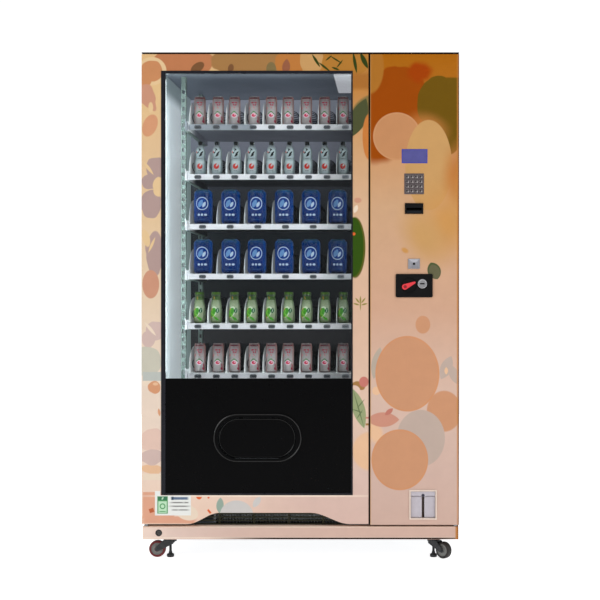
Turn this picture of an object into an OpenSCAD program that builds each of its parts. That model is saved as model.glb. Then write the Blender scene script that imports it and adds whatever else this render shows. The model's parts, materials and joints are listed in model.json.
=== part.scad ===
/* [Cabinet] */
// Overall width
body_w = 1210; // [1190:5:1230]
// Overall depth, doors and rear panel included
body_d = 850; // [830:5:880]
// Overall height above the floor
body_h = 1940; // [1930:5:1960]
// Height of the cabinet's underside above the floor
base_z = 82; // [80:1:84]
// Thickness of the casing and door sheet
sheet = 1.5; // [1:0.5:2]
// Height of the kick rail
rail_h = 49; // [45:1:50]

/* [Doors] */
// Thickness of both doors
door_t = 45; // [40:1:46]
// Width of the gap between the doors
seam = 7; // [5:1:9]
// X of the middle of that gap
seam_x = 263; // [260:1:266]
// Height of the wavy cut in the glazed door's lower edge
wave_h = 43; // [30:1:45]
// Radius of the door hinge pins
pin_r = 5; // [4:0.5:6]

/* [Window] */
// Left edge of the window opening
win_l = -531; // [-535:1:-525]
// Right edge of the window opening
win_r = 200; // [195:1:205]
// Bottom edge of the window opening, below the black panel
win_b = 252; // [245:1:260]
// Top edge of the window opening
win_t = 1870; // [1860:1:1875]
// Height at which the glass meets the black lower panel
panel_t = 697; // [690:1:700]
// Thickness of the glazing unit
glass_t = 14; // [10:1:16]

/* [Delivery port] */
// X of the port's centre
port_x = -165; // [-180:1:-150]
// Z of the port's centre
port_z = 469; // [460:1:475]
// Width of the flap
flap_w = 296; // [280:1:300]
// Height of the flap
flap_h = 153; // [145:1:155]
// Width of the raised rim around the port
rim_w = 20; // [15:1:24]

/* [Trays] */
// Height of the lowest tray's price rail
tray_z = 697; // [690:1:700]
// Height from one tray to the next
tray_pitch = 195; // [190:1:196]
// Left end of the trays
tray_l = -447; // [-450:1:-440]
// Right end of the trays
tray_r = 203; // [200:1:204]
// Lanes in each tray, from the lowest
lanes = [9, 9, 6, 6, 9, 9]; // [4:1:10]
// Height of the lane dividers above the deck
divider_h = 102; // [90:1:110]
// Depth over which a divider rises from its front edge
divider_rise = 130; // [100:5:150]
// Thickness of a lane divider
divider_t = 1.2; // [1:0.1:2]
// Wire radius of the spiral coils
wire_r = 1.8; // [1.5:0.1:2.5]

/* [Casters] */
// Wheel radius
wheel_r = 32; // [30:0.5:32]
// Wheel width
wheel_w = 24; // [20:1:26]
// Distance from the swivel axis to the axle
trail = 50; // [50:1:52]
// Distance of the swivel axes from the middle plane
caster_x = 510; // [505:1:515]
// Distance of the swivel axes in front of and behind the middle
caster_y = 330; // [325:1:335]

/* [Hidden] */

peach = "#e9c9b4";
white_paint = "#dfe6e4";
steel = "#b4b8bb";
black = "#1b1b1d";

slip = 0.3; // gap between pieces that meet
run = 0.05; // radial clearance of a running fit

half_w = body_w / 2;
front_y = -body_d / 2;
back_y = body_d / 2;
skin_y = front_y + 5; // front face of both doors
door_back = skin_y + door_t;
cab_y = door_back + 7; // front face of the cabinet behind the gasket
roof_z = body_h - 4;
door_top = roof_z - 3;
rail_top = base_z + rail_h;
left_bottom = rail_top + 11; // lower edge of the glazed door
right_bottom = rail_top + 8; // lower edge of the control door
left_door = [-half_w, seam_x - seam / 2];
right_door = [seam_x + seam / 2, half_w];
hinge_x = half_w - 15;
hinge_y = skin_y + 23;

in_l = win_l - 4; // inner faces of the insulated cabinet
in_r = win_r + 22;
in_back = 345;
floor_b = 300;
floor_t = 340;
ceiling_b = win_t + 7;
wall_r = in_r + 40; // right face of the partition
liner = 3;

gasket_x = [in_l - 38, wall_r - 12];
gasket_z = [floor_t - 28, ceiling_b + 22];
gasket_w = 14;

// ---- helpers -------------------------------------------------------------

// A box between two corners
module box(x, y, z) {
    translate([x[0], y[0], z[0]]) cube([x[1] - x[0], y[1] - y[0], z[1] - z[0]]);
}

// An outline in the XZ plane made y[0] to y[1] thick
module slab(y) {
    translate([0, y[1], 0]) rotate([90, 0, 0]) linear_extrude(y[1] - y[0]) children();
}

// A flat rectangle between two corners
module rect(x, z) {
    translate([x[0], z[0]]) square([x[1] - x[0], z[1] - z[0]]);
}

// A cylinder along Y from y[0] to y[1]
module bar_y(x, z, r, y) {
    translate([x, y[1], z]) rotate([90, 0, 0]) cylinder(r = r, h = y[1] - y[0], $fn = 48);
}

// A cylinder along X from x[0] to x[1]
module bar_x(y, z, r, x) {
    translate([x[0], y, z]) rotate([0, 90, 0]) cylinder(r = r, h = x[1] - x[0], $fn = 48);
}

// A rectangle with rounded corners, centred
module rounded(w, h, r) {
    square([w - 2 * r, h], center = true);
    square([w, h - 2 * r], center = true);
    for (sx = [-1, 1], sz = [-1, 1])
        translate([sx * (w / 2 - r), sz * (h / 2 - r)]) circle(r = r, $fn = 48);
}

// A slab of insulation: its skins, open on the side that the casing covers
module panel_shell(x, y, z, open) {
    difference() {
        box(x, y, z);
        box([x[0] + (open == "left" ? -1 : liner), x[1] - liner],
            [y[0] + liner, y[1] + (open == "back" ? 1 : -liner)],
            [z[0] + (open == "below" ? -1 : liner), z[1] + (open == "above" ? 1 : -liner)]);
    }
}

// ---- cabinet -------------------------------------------------------------

module base_pan() color(steel)
    box([-half_w + sheet + slip, half_w - sheet - slip], [cab_y, back_y - sheet - slip],
        [base_z, base_z + 3]);

module side_panel(x) {
    box(x, [cab_y, back_y - sheet - slip], [base_z, roof_z - slip]);
}

module left_side_panel() color(peach) side_panel([-half_w, -half_w + sheet]);

module right_side_panel() color(peach) side_panel([half_w - sheet, half_w]);

// Roof sheet with a short lip turned down all round
module top_panel() color(peach)
    difference() {
        box([-half_w, half_w], [skin_y, back_y], [roof_z, body_h]);
        box([-half_w + 4, half_w - 4], [skin_y + 4, back_y - 4], [roof_z - 1, body_h - sheet]);
    }

module rear_panel() color(steel) {
    vent_w = 60;
    difference() {
        box([-half_w, half_w], [back_y - sheet, back_y], [base_z, roof_z - slip]);
        for (i = [0:4], j = [0:7])
            box([-460 + i * 110, -460 + i * 110 + vent_w], [back_y - 5, back_y + 5],
                [115 + j * 20, 121 + j * 20]);
        for (i = [0:2], j = [0:5])
            box([340 + i * 80, 400 + i * 80], [back_y - 5, back_y + 5],
                [1700 + j * 20, 1706 + j * 20]);
        box([520, 547], [back_y - 5, back_y + 5], [150, 170]);
    }
}

hole_at = [-541, 107]; // round hole near the rail's left end
hole_r = 10.5;

module kick_rail() color(peach) {
    bevel = 4;
    y0 = front_y + 13;
    y1 = cab_y - slip;
    difference() {
        rotate([90, 0, 90]) translate([0, 0, -half_w + 2]) linear_extrude(2 * half_w - 4)
            polygon([
                [y1, base_z], [y0, base_z], [y0, rail_top - bevel], [y0 + bevel, rail_top],
                [y1, rail_top], [y1, rail_top - sheet], [y0 + bevel + 1, rail_top - sheet],
                [y0 + sheet, rail_top - bevel - 1], [y0 + sheet, base_z + sheet],
                [y1, base_z + sheet]
            ]);
        bar_y(hole_at[0], hole_at[1], hole_r, [y0 - 5, y0 + 5]);
    }
}

// Side, back, ceiling and floor slabs of the cooled space
module insulated_panels() color(white_paint) {
    side_z = [floor_t + slip, ceiling_b - slip];
    deep = [cab_y, in_back - slip];
    full = [-half_w + sheet + slip, wall_r];
    panel_shell([full[0], in_l], deep, side_z, "left");
    panel_shell(full, [in_back, back_y - sheet - slip], side_z, "back");
    panel_shell(full, [cab_y, back_y - sheet - slip], [ceiling_b, roof_z - slip], "above");
    panel_shell([full[0], in_r - slip], [cab_y, back_y - sheet - slip], [floor_b, floor_t],
        "below");
}

// Wall between the goods side and the control side, open at its ends
module partition() color(white_paint) {
    z = [base_z + 3 + slip, ceiling_b - slip];
    y = [cab_y, in_back - slip];
    difference() {
        box([in_r, wall_r], y, z);
        box([in_r + liner, wall_r - liner], [y[0] + liner, y[1] - liner], [z[0] - 1, z[1] + 1]);
    }
}

function level(i) = tray_z + (i - 1) * tray_pitch;

post_y = [-230, 220]; // middles of the front and back posts

// Slotted posts and the ledges that the trays slide on
module shelf_frame() color(white_paint) {
    z = [floor_t + slip, ceiling_b - slip];
    left = [tray_l - 35, tray_l - 17.5];
    right = [tray_r + 4, in_r - slip];
    for (y = post_y, side = [left, right])
        difference() {
            box(side, [y - 15, y + 15], z);
            box([side[0] + 1.5, side[1] - 1.5], [y - 13.5, y + 16], [z[0] - 1, z[1] + 1]);
            for (k = [0:35])
                box([side[0] + 4, side[1] - 4], [y - 16, y],
                    [z[0] + 330 + k * 32.5, z[0] + 346 + k * 32.5]);
        }
    for (i = [1:6], x = [[left[1] + slip, tray_l - 3], [tray_r - 11, right[0] - slip]])
        box(x, [post_y[0] - 12, post_y[1] + 12], [level(i) - 14.5, level(i) - 11]);
}

module led_strips() color("white") {
    y = [cab_y + 8, cab_y + 26];
    z = [panel_t + 20, win_t - 20];
    box([in_l + slip, in_l + 10], y, z);
    box([in_r - 10, in_r - slip], y, z);
}

// ---- cooling unit --------------------------------------------------------

module condenser_grille() color("#4a4a38") {
    x = [-585, in_r - slip];
    z = [rail_top + slip, floor_b - slip];
    pitch = 13;
    bay = (x[1] - x[0] - 8) / 6;
    difference() {
        box(x, [cab_y + 2, cab_y + 8], z);
        for (i = [0:5], j = [0:11])
            box([x[0] + 8 + i * bay, x[0] + (i + 1) * bay], [cab_y, cab_y + 10],
                [z[0] + 5 + j * pitch, z[0] + 13 + j * pitch]);
    }
}

fin_count = 42;

// Heat exchanger: thin upright fins standing forward from a core
module fin_block(x, y, z, fins, depth) {
    edge = 8;
    step = (x[1] - x[0] - 2 * edge) / fins;
    difference() {
        box(x, y, z);
        for (i = [0:fins - 1])
            box([x[0] + edge + i * step + 1, x[0] + edge + (i + 1) * step], [y[0] - 1, y[0] + depth],
                [z[0] + edge, z[1] - edge]);
    }
}

module condenser() color("#8d9396") {
    x = [-340, 160];
    y = [cab_y + 22, cab_y + 72];
    z = [base_z + 3 + slip, floor_b - 8];
    fin_block(x, y, z, fin_count, 40);
    // Fan motor on its stand
    bar_y(-90, 190, 32, [y[1] + 60, y[1] + 120]);
    box([-110, -70], [y[1] + 75, y[1] + 105], [z[0], 156]);
}

// Fan with flat pitched blades, turning about Y
module fan(x, y, z, r, blades) {
    bar_y(x, z, 22, [y - 12, y + 12]);
    for (i = [0:blades - 1])
        translate([x, y, z]) rotate([0, i * 360 / blades, 0]) rotate([0, 0, 28])
            translate([-24, -1, 15]) cube([48, 2, r - 15]);
}

module condenser_fan() color("#5a5e62") fan(-90, cab_y + 112, 190, 82, 5);

module compressor() color(black) {
    translate([-440, 160, 0]) {
        rotate_extrude($fn = 64) polygon(concat(
            [[0, base_z + 12], [78, base_z + 12], [84, base_z + 20], [84, 205]],
            [for (a = [15:15:90]) [84 * cos(a), 205 + 50 * sin(a)]]));
        translate([-95, -75, base_z + 3 + slip]) cube([190, 150, 10]);
    }
}

module evaporator() color("#aab0b3") {
    x = [-420, 120];
    y = [170, 300];
    z = [floor_t + slip, 590];
    fin_block(x, y, z, fin_count, 120);
}

module evaporator_fan() color("#5a5e62") fan(-150, 130, 470, 90, 7);

// ---- inside the cabinet --------------------------------------------------

// Floor, back, ends and front lip of the bin that the goods fall into
module delivery_bin() color(steel) {
    x = [tray_l - 16, 206];
    y = [cab_y + 2, -94];
    z = [352, 600];
    box([x[0], x[1]], y, [z[0], z[0] + sheet]);
    box([x[0], x[1]], [y[1] - sheet, y[1]], [z[0] + sheet + 0.2, z[1]]);
    for (s = [[x[0], x[0] + sheet], [x[1] - sheet, x[1]]])
        box(s, [y[0], y[1] - sheet - 0.2], [z[0] + sheet + 0.2, z[1]]);
    box([x[0] + sheet + 0.2, x[1] - sheet - 0.2], [y[0], y[0] + sheet],
        [z[0] + sheet + 0.2, z[0] + 28]);
    for (px = [-420, 150])
        box([px, px + 20], [y[0] + 20, y[1] - 20], [floor_t + slip, z[0] - 0.2]);
}

// Sheet box on the rear panel for the controller and power supply
module control_box() color("#c9cdd0") {
    y = [in_back - 85, back_y - sheet - slip];
    difference() {
        box([290, 560], y, [700, 1250]);
        box([290 + sheet, 560 - sheet], [y[0] + sheet, y[1] + 1], [700 + sheet, 1250 - sheet]);
    }
}

module power_inlet() color(black)
    difference() {
        box([520 + slip, 547 - slip], [back_y - 32, back_y], [150 + slip, 170 - slip]);
        box([523, 544], [back_y - 18, back_y + 1], [153, 167]);
    }

// ---- hinges, casters and feet --------------------------------------------

module hinge_pins() color(steel)
    for (s = [[-hinge_x, left_bottom], [hinge_x, right_bottom]])
        translate([s[0], hinge_y, 0]) {
            translate([0, 0, door_top - 18])
                cylinder(r = pin_r, h = body_h - sheet - door_top + 18, $fn = 48);
            translate([0, 0, door_top + slip])
                cylinder(r = 9, h = body_h - sheet - door_top - slip, $fn = 48);
            translate([0, 0, rail_top]) cylinder(r = pin_r, h = s[1] - rail_top + 20, $fn = 48);
            translate([0, 0, rail_top]) cylinder(r = 9, h = s[1] - rail_top - slip, $fn = 48);
        }

// Swivel positions and the direction in which each wheel trails
casters = [
    [-caster_x, -caster_y, 180],
    [caster_x, -caster_y, -40],
    [-caster_x, caster_y, 120],
    [caster_x, caster_y, 60]
];
stem_r = 5;
king_r = 9;
fork_top = base_z - 14;
fork_cap = 6;
axle_z = wheel_r + 0.5;
axle_r = 4;

module caster_plates() color("#3a3d40")
    for (c = casters) translate([c[0], c[1], 0])
        difference() {
            union() {
                translate([-46, -34, base_z - 4]) cube([92, 68, 4]);
                translate([0, 0, fork_top + slip]) cylinder(r = 26, h = 10.5, $fn = 48);
                translate([0, 0, fork_top - fork_cap - slip - 2])
                    cylinder(r = king_r, h = 20, $fn = 48);
                translate([0, 0, fork_top - fork_cap - slip - 2.5])
                    cylinder(r = 11.5, h = 2.5, $fn = 48);
            }
            translate([0, 0, base_z - 40]) cylinder(r = stem_r + 1, h = 60, $fn = 48);
        }

module caster_fork(i) color("#33363a") {
    c = casters[i];
    inner = wheel_w / 2 + 1.5;
    translate([c[0], c[1], 0]) rotate([0, 0, c[2]]) {
        difference() {
            union() {
                translate([0, 0, fork_top - fork_cap]) cylinder(r = 24, h = fork_cap, $fn = 48);
                translate([0, -inner - 3, fork_top - fork_cap]) cube([26, 2 * inner + 6, 4]);
            }
            translate([0, 0, fork_top - 20]) cylinder(r = king_r + run, h = 30, $fn = 48);
        }
        for (s = [-1, 1]) translate([0, s * (inner + 1.5) + 1.5, 0])
            rotate([90, 0, 0]) linear_extrude(3) {
                polygon([[-14, fork_top - fork_cap + 4], [-14, fork_top - 14], [trail - 7, axle_z - 7],
                    [trail + 8, axle_z], [trail + 5, axle_z + 8], [26, fork_top - fork_cap + 4]]);
                translate([trail, axle_z]) circle(r = 8, $fn = 48);
            }
        translate([trail, inner + 5, axle_z]) rotate([90, 0, 0])
            cylinder(r = axle_r, h = 2 * inner + 10, $fn = 48);
    }
}
module caster_fork_1() caster_fork(0);
module caster_fork_2() caster_fork(1);
module caster_fork_3() caster_fork(2);
module caster_fork_4() caster_fork(3);

module caster_wheel(i) color(i == 0 ? "#5c1018" : black) {
    c = casters[i];
    half = wheel_w / 2;
    translate([c[0], c[1], 0]) rotate([0, 0, c[2]]) translate([trail, 0, axle_z])
        rotate([90, 0, 0]) rotate_extrude($fn = 64) polygon([
            [axle_r + run, -half], [11, -half], [13, -half + 4], [22, -half + 4], [24, -half],
            [wheel_r - 3, -half], [wheel_r, -half + 3], [wheel_r, half - 3], [wheel_r - 3, half],
            [24, half], [22, half - 4], [13, half - 4], [11, half], [axle_r + run, half]
        ]);
}
module caster_wheel_1() caster_wheel(0);
module caster_wheel_2() caster_wheel(1);
module caster_wheel_3() caster_wheel(2);
module caster_wheel_4() caster_wheel(3);

module levelling_feet() color("#2a2c2f")
    for (c = casters) translate([c[0], c[1], 0]) {
        rotate_extrude($fn = 48) polygon([
            [0, 0], [12, 0], [14, 2], [14, 11], [12, 13], [8, 14], [6, 22], [stem_r, 26],
            [stem_r, base_z - 4], [0, base_z - 4]
        ]);
    }

// ---- glazed door ---------------------------------------------------------

// The wavy lower edge, from right to left, raised by lift
function wave_points(lift) = [
    for (k = [0:1:10])
        [39 + 151 * (1 - k / 10), left_bottom + lift + wave_h * (1 - cos(18 * k)) / 2],
    for (k = [0:1:10])
        [-308 - 124 * k / 10, left_bottom + lift + wave_h * (1 + cos(18 * k)) / 2]
];

// Outline of the glazed door, set in by t all round
module door_outline(t) {
    polygon(concat(
        [[left_door[0] + t, left_bottom + t], [left_door[0] + t, door_top - t],
            [left_door[1] - t, door_top - t], [left_door[1] - t, left_bottom + t]],
        wave_points(t)));
}

module pin_holes(x) {
    translate([x, hinge_y, left_bottom - 30]) cylinder(r = pin_r + run, h = door_top, $fn = 48);
}

// Folded sheet: a front skin with flanges turned back along its edges
module door_frame() color(peach)
    difference() {
        union() {
            slab([skin_y, skin_y + sheet]) difference() {
                door_outline(0);
                rect([win_l, win_r], [win_b, win_t]);
            }
            slab([skin_y, door_back]) difference() {
                door_outline(0);
                door_outline(sheet);
            }
            slab([skin_y, door_back]) difference() {
                rect([win_l - sheet, win_r + sheet], [win_b - sheet, win_t + sheet]);
                rect([win_l, win_r], [win_b, win_t]);
            }
            slab([door_back - sheet, door_back]) difference() {
                rect([gasket_x[0] - 2, gasket_x[1] + 2], [win_b - 20, gasket_z[1] + 2]);
                rect([win_l, win_r], [win_b, win_t]);
            }
        }
        pin_holes(-hinge_x);
    }

trim = [17, 6, 8, 11]; // widths of the border: left, right, bottom, top
trim_y = [skin_y - 1.5, skin_y + 12];
glass_x = [win_l + trim[0] + slip, win_r - trim[1] - slip];

module window_trim() color(black) {
    x = [win_l + slip, win_r - slip];
    z = [win_b + slip, win_t - slip];
    box([x[0], win_l + trim[0]], trim_y, z);
    box([win_r - trim[1], x[1]], trim_y, z);
    box([win_l + trim[0] + 0.2, win_r - trim[1] - 0.2], trim_y, [z[0], win_b + trim[2]]);
    box([win_l + trim[0] + 0.2, win_r - trim[1] - 0.2], trim_y, [win_t - trim[3], z[1]]);
}

module door_glass() color("#a9c4c4", 0.35)
    box(glass_x, [skin_y + 1, skin_y + 1 + glass_t], [panel_t + slip, win_t - trim[3] - slip]);

// A bar with round ends, centred
module obround(w, h) {
    square([w - h, h], center = true);
    for (s = [-1, 1]) translate([s * (w - h) / 2, 0]) circle(d = h, $fn = 96);
}

flap_y = [skin_y + 6, skin_y + 10];
flap_axis = [skin_y + 19, port_z + flap_h / 2 + 5];
lug_x = [-62, 62];
flap_pin = 3;

module delivery_panel() color(black) {
    slab([skin_y + 2, skin_y + 8]) difference() {
        rect(glass_x, [win_b + trim[2] + slip, panel_t]);
        translate([port_x, port_z]) obround(flap_w + 3, flap_h + 3);
    }
    slab([skin_y - 3, skin_y + 3]) difference() {
        translate([port_x + 2, port_z + 2]) obround(flap_w + 2 * rim_w, flap_h + 1.5 * rim_w);
        translate([port_x, port_z]) obround(flap_w + 3, flap_h + 3);
    }
    // Rib behind the panel that carries the gasket's lower run
    box([glass_x[0], glass_x[1]], [skin_y + 7, door_back], [gasket_z[0] - 2, gasket_z[0] + gasket_w + 2]);
    // Brackets and pin of the flap's hinge
    for (x = [port_x + lug_x[0] - 16, port_x + lug_x[1] + 12])
        box([x, x + 4], [skin_y + 7, flap_axis[0] + 6], [flap_axis[1] - 3.6, flap_axis[1] + 10]);
    bar_x(flap_axis[0], flap_axis[1], flap_pin, [port_x + lug_x[0] - 14, port_x + lug_x[1] + 14]);
}

module delivery_flap() color("#232326")
    difference() {
        union() {
            slab(flap_y) translate([port_x, port_z]) obround(flap_w, flap_h);
            for (x = lug_x) {
                bar_x(flap_axis[0], flap_axis[1], 6, [port_x + x - 7, port_x + x + 7]);
                box([port_x + x - 7, port_x + x + 7], [flap_y[1] - 1, flap_axis[0] + 3],
                    [flap_axis[1] - 18, flap_axis[1] - 3]);
            }
        }
        bar_x(flap_axis[0], flap_axis[1], flap_pin + run, [port_x - 100, port_x + 100]);
    }

module door_gasket() color("#2b2b2e") {
    y = [door_back + 0.1, cab_y - 0.4];
    w = gasket_w;
    across = [gasket_x[0] + w + 0.2, gasket_x[1] - w - 0.2];
    box([gasket_x[0], gasket_x[0] + w], y, gasket_z);
    box([gasket_x[1] - w, gasket_x[1]], y, gasket_z);
    box(across, y, [gasket_z[0], gasket_z[0] + w]);
    box(across, y, [gasket_z[1] - w, gasket_z[1]]);
}

// ---- control door --------------------------------------------------------

// Middle and size of each fitting on the control door: x, z, width, height
display_at = [435.5, 1544, 98, 54];
keypad_at = [433.6, 1438.6, 75, 79];
bill_at = [433.4, 1344.5, 70, 41];
coin_at = [433.2, 1134, 45, 38];
lock_at = [433.8, 1050.8, 141, 89];
cup_at = [467.7, 215.9, 105, 113];

// Rectangle of a fitting, grown by g
module fitting(at, g = 0) {
    translate([at[0], at[1]]) square([at[2] + 2 * g, at[3] + 2 * g], center = true);
}

module control_door() color(peach)
    difference() {
        union() {
            slab([skin_y, skin_y + sheet]) rect(right_door, [right_bottom, door_top]);
            slab([skin_y, door_back]) difference() {
                rect(right_door, [right_bottom, door_top]);
                rect([right_door[0] + sheet, right_door[1] - sheet],
                    [right_bottom + sheet, door_top - sheet]);
            }
        }
        slab([skin_y - 5, door_back - 5]) for (at = [display_at, keypad_at, bill_at, coin_at, cup_at])
            fitting(at, -2 + slip);
        slab([skin_y - 5, door_back - 5]) fitting(lock_at, -8);
        pin_holes(hinge_x);
    }

// A fitting's flange in front of the skin and its body through the cut-out
module flanged(at, front, back) {
    slab([skin_y - front, skin_y - 0.1]) fitting(at);
    slab([skin_y - 1, back]) fitting(at, -2);
}

module display() color("#4a4c9c") flanged(display_at, 1, skin_y + 24);

key_pitch = 17;
key_size = 13;

module key_grid() {
    for (i = [-1.5:1:1.5], j = [-1.5:1:1.5])
        translate([keypad_at[0] + i * key_pitch, keypad_at[1] + j * (key_pitch + 1)]) children();
}

module keypad_plate() color(steel)
    difference() {
        flanged(keypad_at, 1.5, skin_y + 16);
        slab([skin_y - 5, skin_y + 8]) key_grid() square(key_size + 1, center = true);
    }

module keypad_keys() color("#9a9da0")
    slab([skin_y - 3, skin_y + 4.5]) key_grid() square(key_size, center = true);

module bill_acceptor() color(black)
    difference() {
        union() {
            flanged(bill_at, 4, skin_y + 60);
            box([bill_at[0] - 45, bill_at[0] + 45], [skin_y + 30, skin_y + 120],
                [bill_at[1] - 50, bill_at[1] + 90]);
        }
        box([bill_at[0] - 29, bill_at[0] + 29], [skin_y - 9, skin_y + 40],
            [bill_at[1] - 7, bill_at[1] + 3]);
    }

button_r = 4.5;

// Dished plate: four slopes down to the button
module coin_plate() color(steel)
    difference() {
        flanged(coin_at, 3, skin_y + 20);
        translate([coin_at[0], skin_y - 3.01, coin_at[1]]) rotate([-90, 0, 0])
            linear_extrude(2, scale = 0.35) square([coin_at[2] - 4, coin_at[3] - 4], center = true);
        bar_y(coin_at[0], coin_at[1], button_r + run, [skin_y - 6, skin_y + 10]);
    }

module coin_button() color(black)
    bar_y(coin_at[0], coin_at[1], button_r, [skin_y - 2.5, skin_y + 6]);

lever_at = [414, 1053];
cylinder_at = [465, 1058];
well_r = 31;
cylinder_r = 17.5;

module lock_plate() color(black)
    difference() {
        union() {
            slab([skin_y - 3, skin_y - 0.1]) translate([lock_at[0], lock_at[1]])
                rounded(lock_at[2], lock_at[3], 5);
            slab([front_y, skin_y - 2]) translate([lock_at[0], lock_at[1]]) difference() {
                rounded(lock_at[2], lock_at[3], 5);
                rounded(lock_at[2] - 9, lock_at[3] - 9, 2);
            }
            slab([skin_y - 1, skin_y + 14]) fitting(lock_at, -8.5);
        }
        bar_y(lever_at[0], lever_at[1], well_r, [skin_y - 6, skin_y + 5]);
        bar_y(lever_at[0], lever_at[1], 5 + run, [skin_y, skin_y + 30]);
        bar_y(cylinder_at[0], cylinder_at[1], cylinder_r + run, [skin_y - 6, skin_y + 30]);
    }

// Teardrop lever across its well, on a shaft through the plate
module lock_lever() color("#c8303c") {
    y = [skin_y - 4, skin_y + 2];
    translate([lever_at[0], 0, lever_at[1]]) rotate([0, -24, 0]) {
        slab(y) {
            translate([-17, 0]) circle(r = 11, $fn = 48);
            translate([23, 0]) circle(r = 4, $fn = 32);
            polygon([[-13, 10.2], [23, 4], [23, -4], [-13, -10.2]]);
        }
        bar_y(0, 0, 5, [skin_y - 1, skin_y + 26]);
    }
}

module lock_cylinder() color(steel)
    difference() {
        bar_y(cylinder_at[0], cylinder_at[1], cylinder_r, [skin_y - 4, skin_y + 26]);
        box([cylinder_at[0] - 8, cylinder_at[0] + 8], [skin_y - 6, skin_y],
            [cylinder_at[1] - 1.5, cylinder_at[1] + 1.5]);
    }

cup_in = [cup_at[2] - 12, cup_at[3] - 12]; // inside of the coin cup
cup_deep = 70;
coin_flap_top = cup_at[1] + 30;

module coin_cup() color("#cfc6c4")
    difference() {
        union() {
            slab([skin_y - 2, skin_y - 0.1]) translate([cup_at[0], cup_at[1]])
                rounded(cup_at[2], cup_at[3], 4);
            slab([skin_y - 1, skin_y + cup_deep]) fitting(cup_at, -2.2);
        }
        slab([skin_y - 5, skin_y + cup_deep - 2]) translate([cup_at[0], cup_at[1]])
            square(cup_in, center = true);
        bar_x(skin_y + 8, coin_flap_top, 1.5 + run, [cup_at[0] - 49.6, cup_at[0] + 49.6]);
    }

// Two flaps on one rod, hanging in the cup's mouth
module coin_flaps() color("#b9b2bd") {
    half = cup_in[0] / 2;
    for (x = [[-half + 1, -5], [5, half - 1]])
        box([cup_at[0] + x[0], cup_at[0] + x[1]], [skin_y + 7, skin_y + 9],
            [cup_at[1] - cup_in[1] / 2 + 1, coin_flap_top]);
    bar_x(skin_y + 8, coin_flap_top, 1.5, [cup_at[0] - 49, cup_at[0] + 49]);
}

// ---- trays and coils -----------------------------------------------------

deck_up = 12; // top of the deck above the tray's level
tray_front = -280;
tray_back = 280;
lane_w = tray_r - tray_l;
function pitch_of(i) = lane_w / lanes[i - 1];
function deck_z(i) = level(i) + deck_up;

// Side outline of a divider: a low front that sweeps up to full height
module divider_outline() {
    low = 8;
    polygon(concat(
        [[tray_back - 6, 0], [tray_front + 3, 0], [tray_front + 3, low]],
        [for (a = [10:10:90])
            [tray_front + 3 + divider_rise * (1 - cos(a)), low + (divider_h - low) * sin(a)]],
        [[tray_back - 6, divider_h]]));
}

// Deck, price rail, dividers, runners and coil motors of one tray
module tray(i) color("#eef1f0") {
    n = lanes[i - 1];
    z = deck_z(i);
    box([tray_l, tray_r], [tray_front + 2.2, tray_back], [z - 1.2, z]);
    box([tray_l - 1, tray_r + 1], [tray_front, tray_front + 2], [level(i) - 10, z]);
    box([tray_l, tray_r], [tray_back - 1.5, tray_back], [z + 0.2, z + 95]);
    for (k = [0:n])
        translate([min(max(tray_l + k * pitch_of(i) - divider_t / 2, tray_l), tray_r - divider_t),
            0, z + 0.2])
            rotate([90, 0, 90]) linear_extrude(divider_t) divider_outline();
    for (x = [[tray_l - 16, tray_l - 1.2], [tray_r + 0.2, tray_r + 3]])
        box(x, [tray_front + 12, tray_back - 30], [level(i) - 10.5, z + 14]);
    for (k = [0:n - 1])
        box([tray_l + (k + 0.5) * pitch_of(i) - 18, tray_l + (k + 0.5) * pitch_of(i) + 18],
            [tray_back + 0.2, tray_back + 40], [z + 14, z + 56]);
}
module tray_1() tray(1);
module tray_2() tray(2);
module tray_3() tray(3);
module tray_4() tray(4);
module tray_5() tray(5);
module tray_6() tray(6);

coil_front = -200;
coil_back = 262;
function coil_r(i) = lanes[i - 1] > 6 ? 31 : 42;
function coil_turns(i) = lanes[i - 1] > 6 ? 8 : 6;

// One wire swept along a helix: rings of four corners joined by pairs of triangles
module coil(i) color("#26282a") {
    r = coil_r(i);
    steps = coil_turns(i) * 8;
    sides = 4;
    rise = (coil_back - coil_front) / steps;
    rings = [for (k = [0:steps], s = [0:sides - 1])
        let (a = 45 * k - 90, rr = r + wire_r * cos(90 * s))
        [rr * cos(a), coil_front + k * rise + wire_r * sin(90 * s), rr * sin(a)]];
    last = steps * sides;
    translate([tray_l + pitch_of(i) / 2, 0, deck_z(i) + r + wire_r + 2]) {
        polyhedron(points = rings, faces = concat(
            [[for (s = [0:sides - 1]) s]],
            [for (k = [0:steps - 1], s = [0:sides - 1], half = [0, 1])
                let (a = k * sides + s, b = k * sides + (s + 1) % sides)
                half == 0 ? [a, a + sides, b] : [b, a + sides, b + sides]],
            [[for (s = [sides - 1:-1:0]) last + s]]));
        // Drive hub and the arm that carries the wire
        bar_y(0, 0, 7, [coil_back + 2.5, tray_back - 5]);
        box([-2.5, 2.5], [coil_back + 2.5, coil_back + 7], [-r - wire_r, -5]);
    }
}
module coil_1() coil(1);
module coil_2() coil(2);
module coil_3() coil(3);
module coil_4() coil(4);
module coil_5() coil(5);
module coil_6() coil(6);

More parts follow.
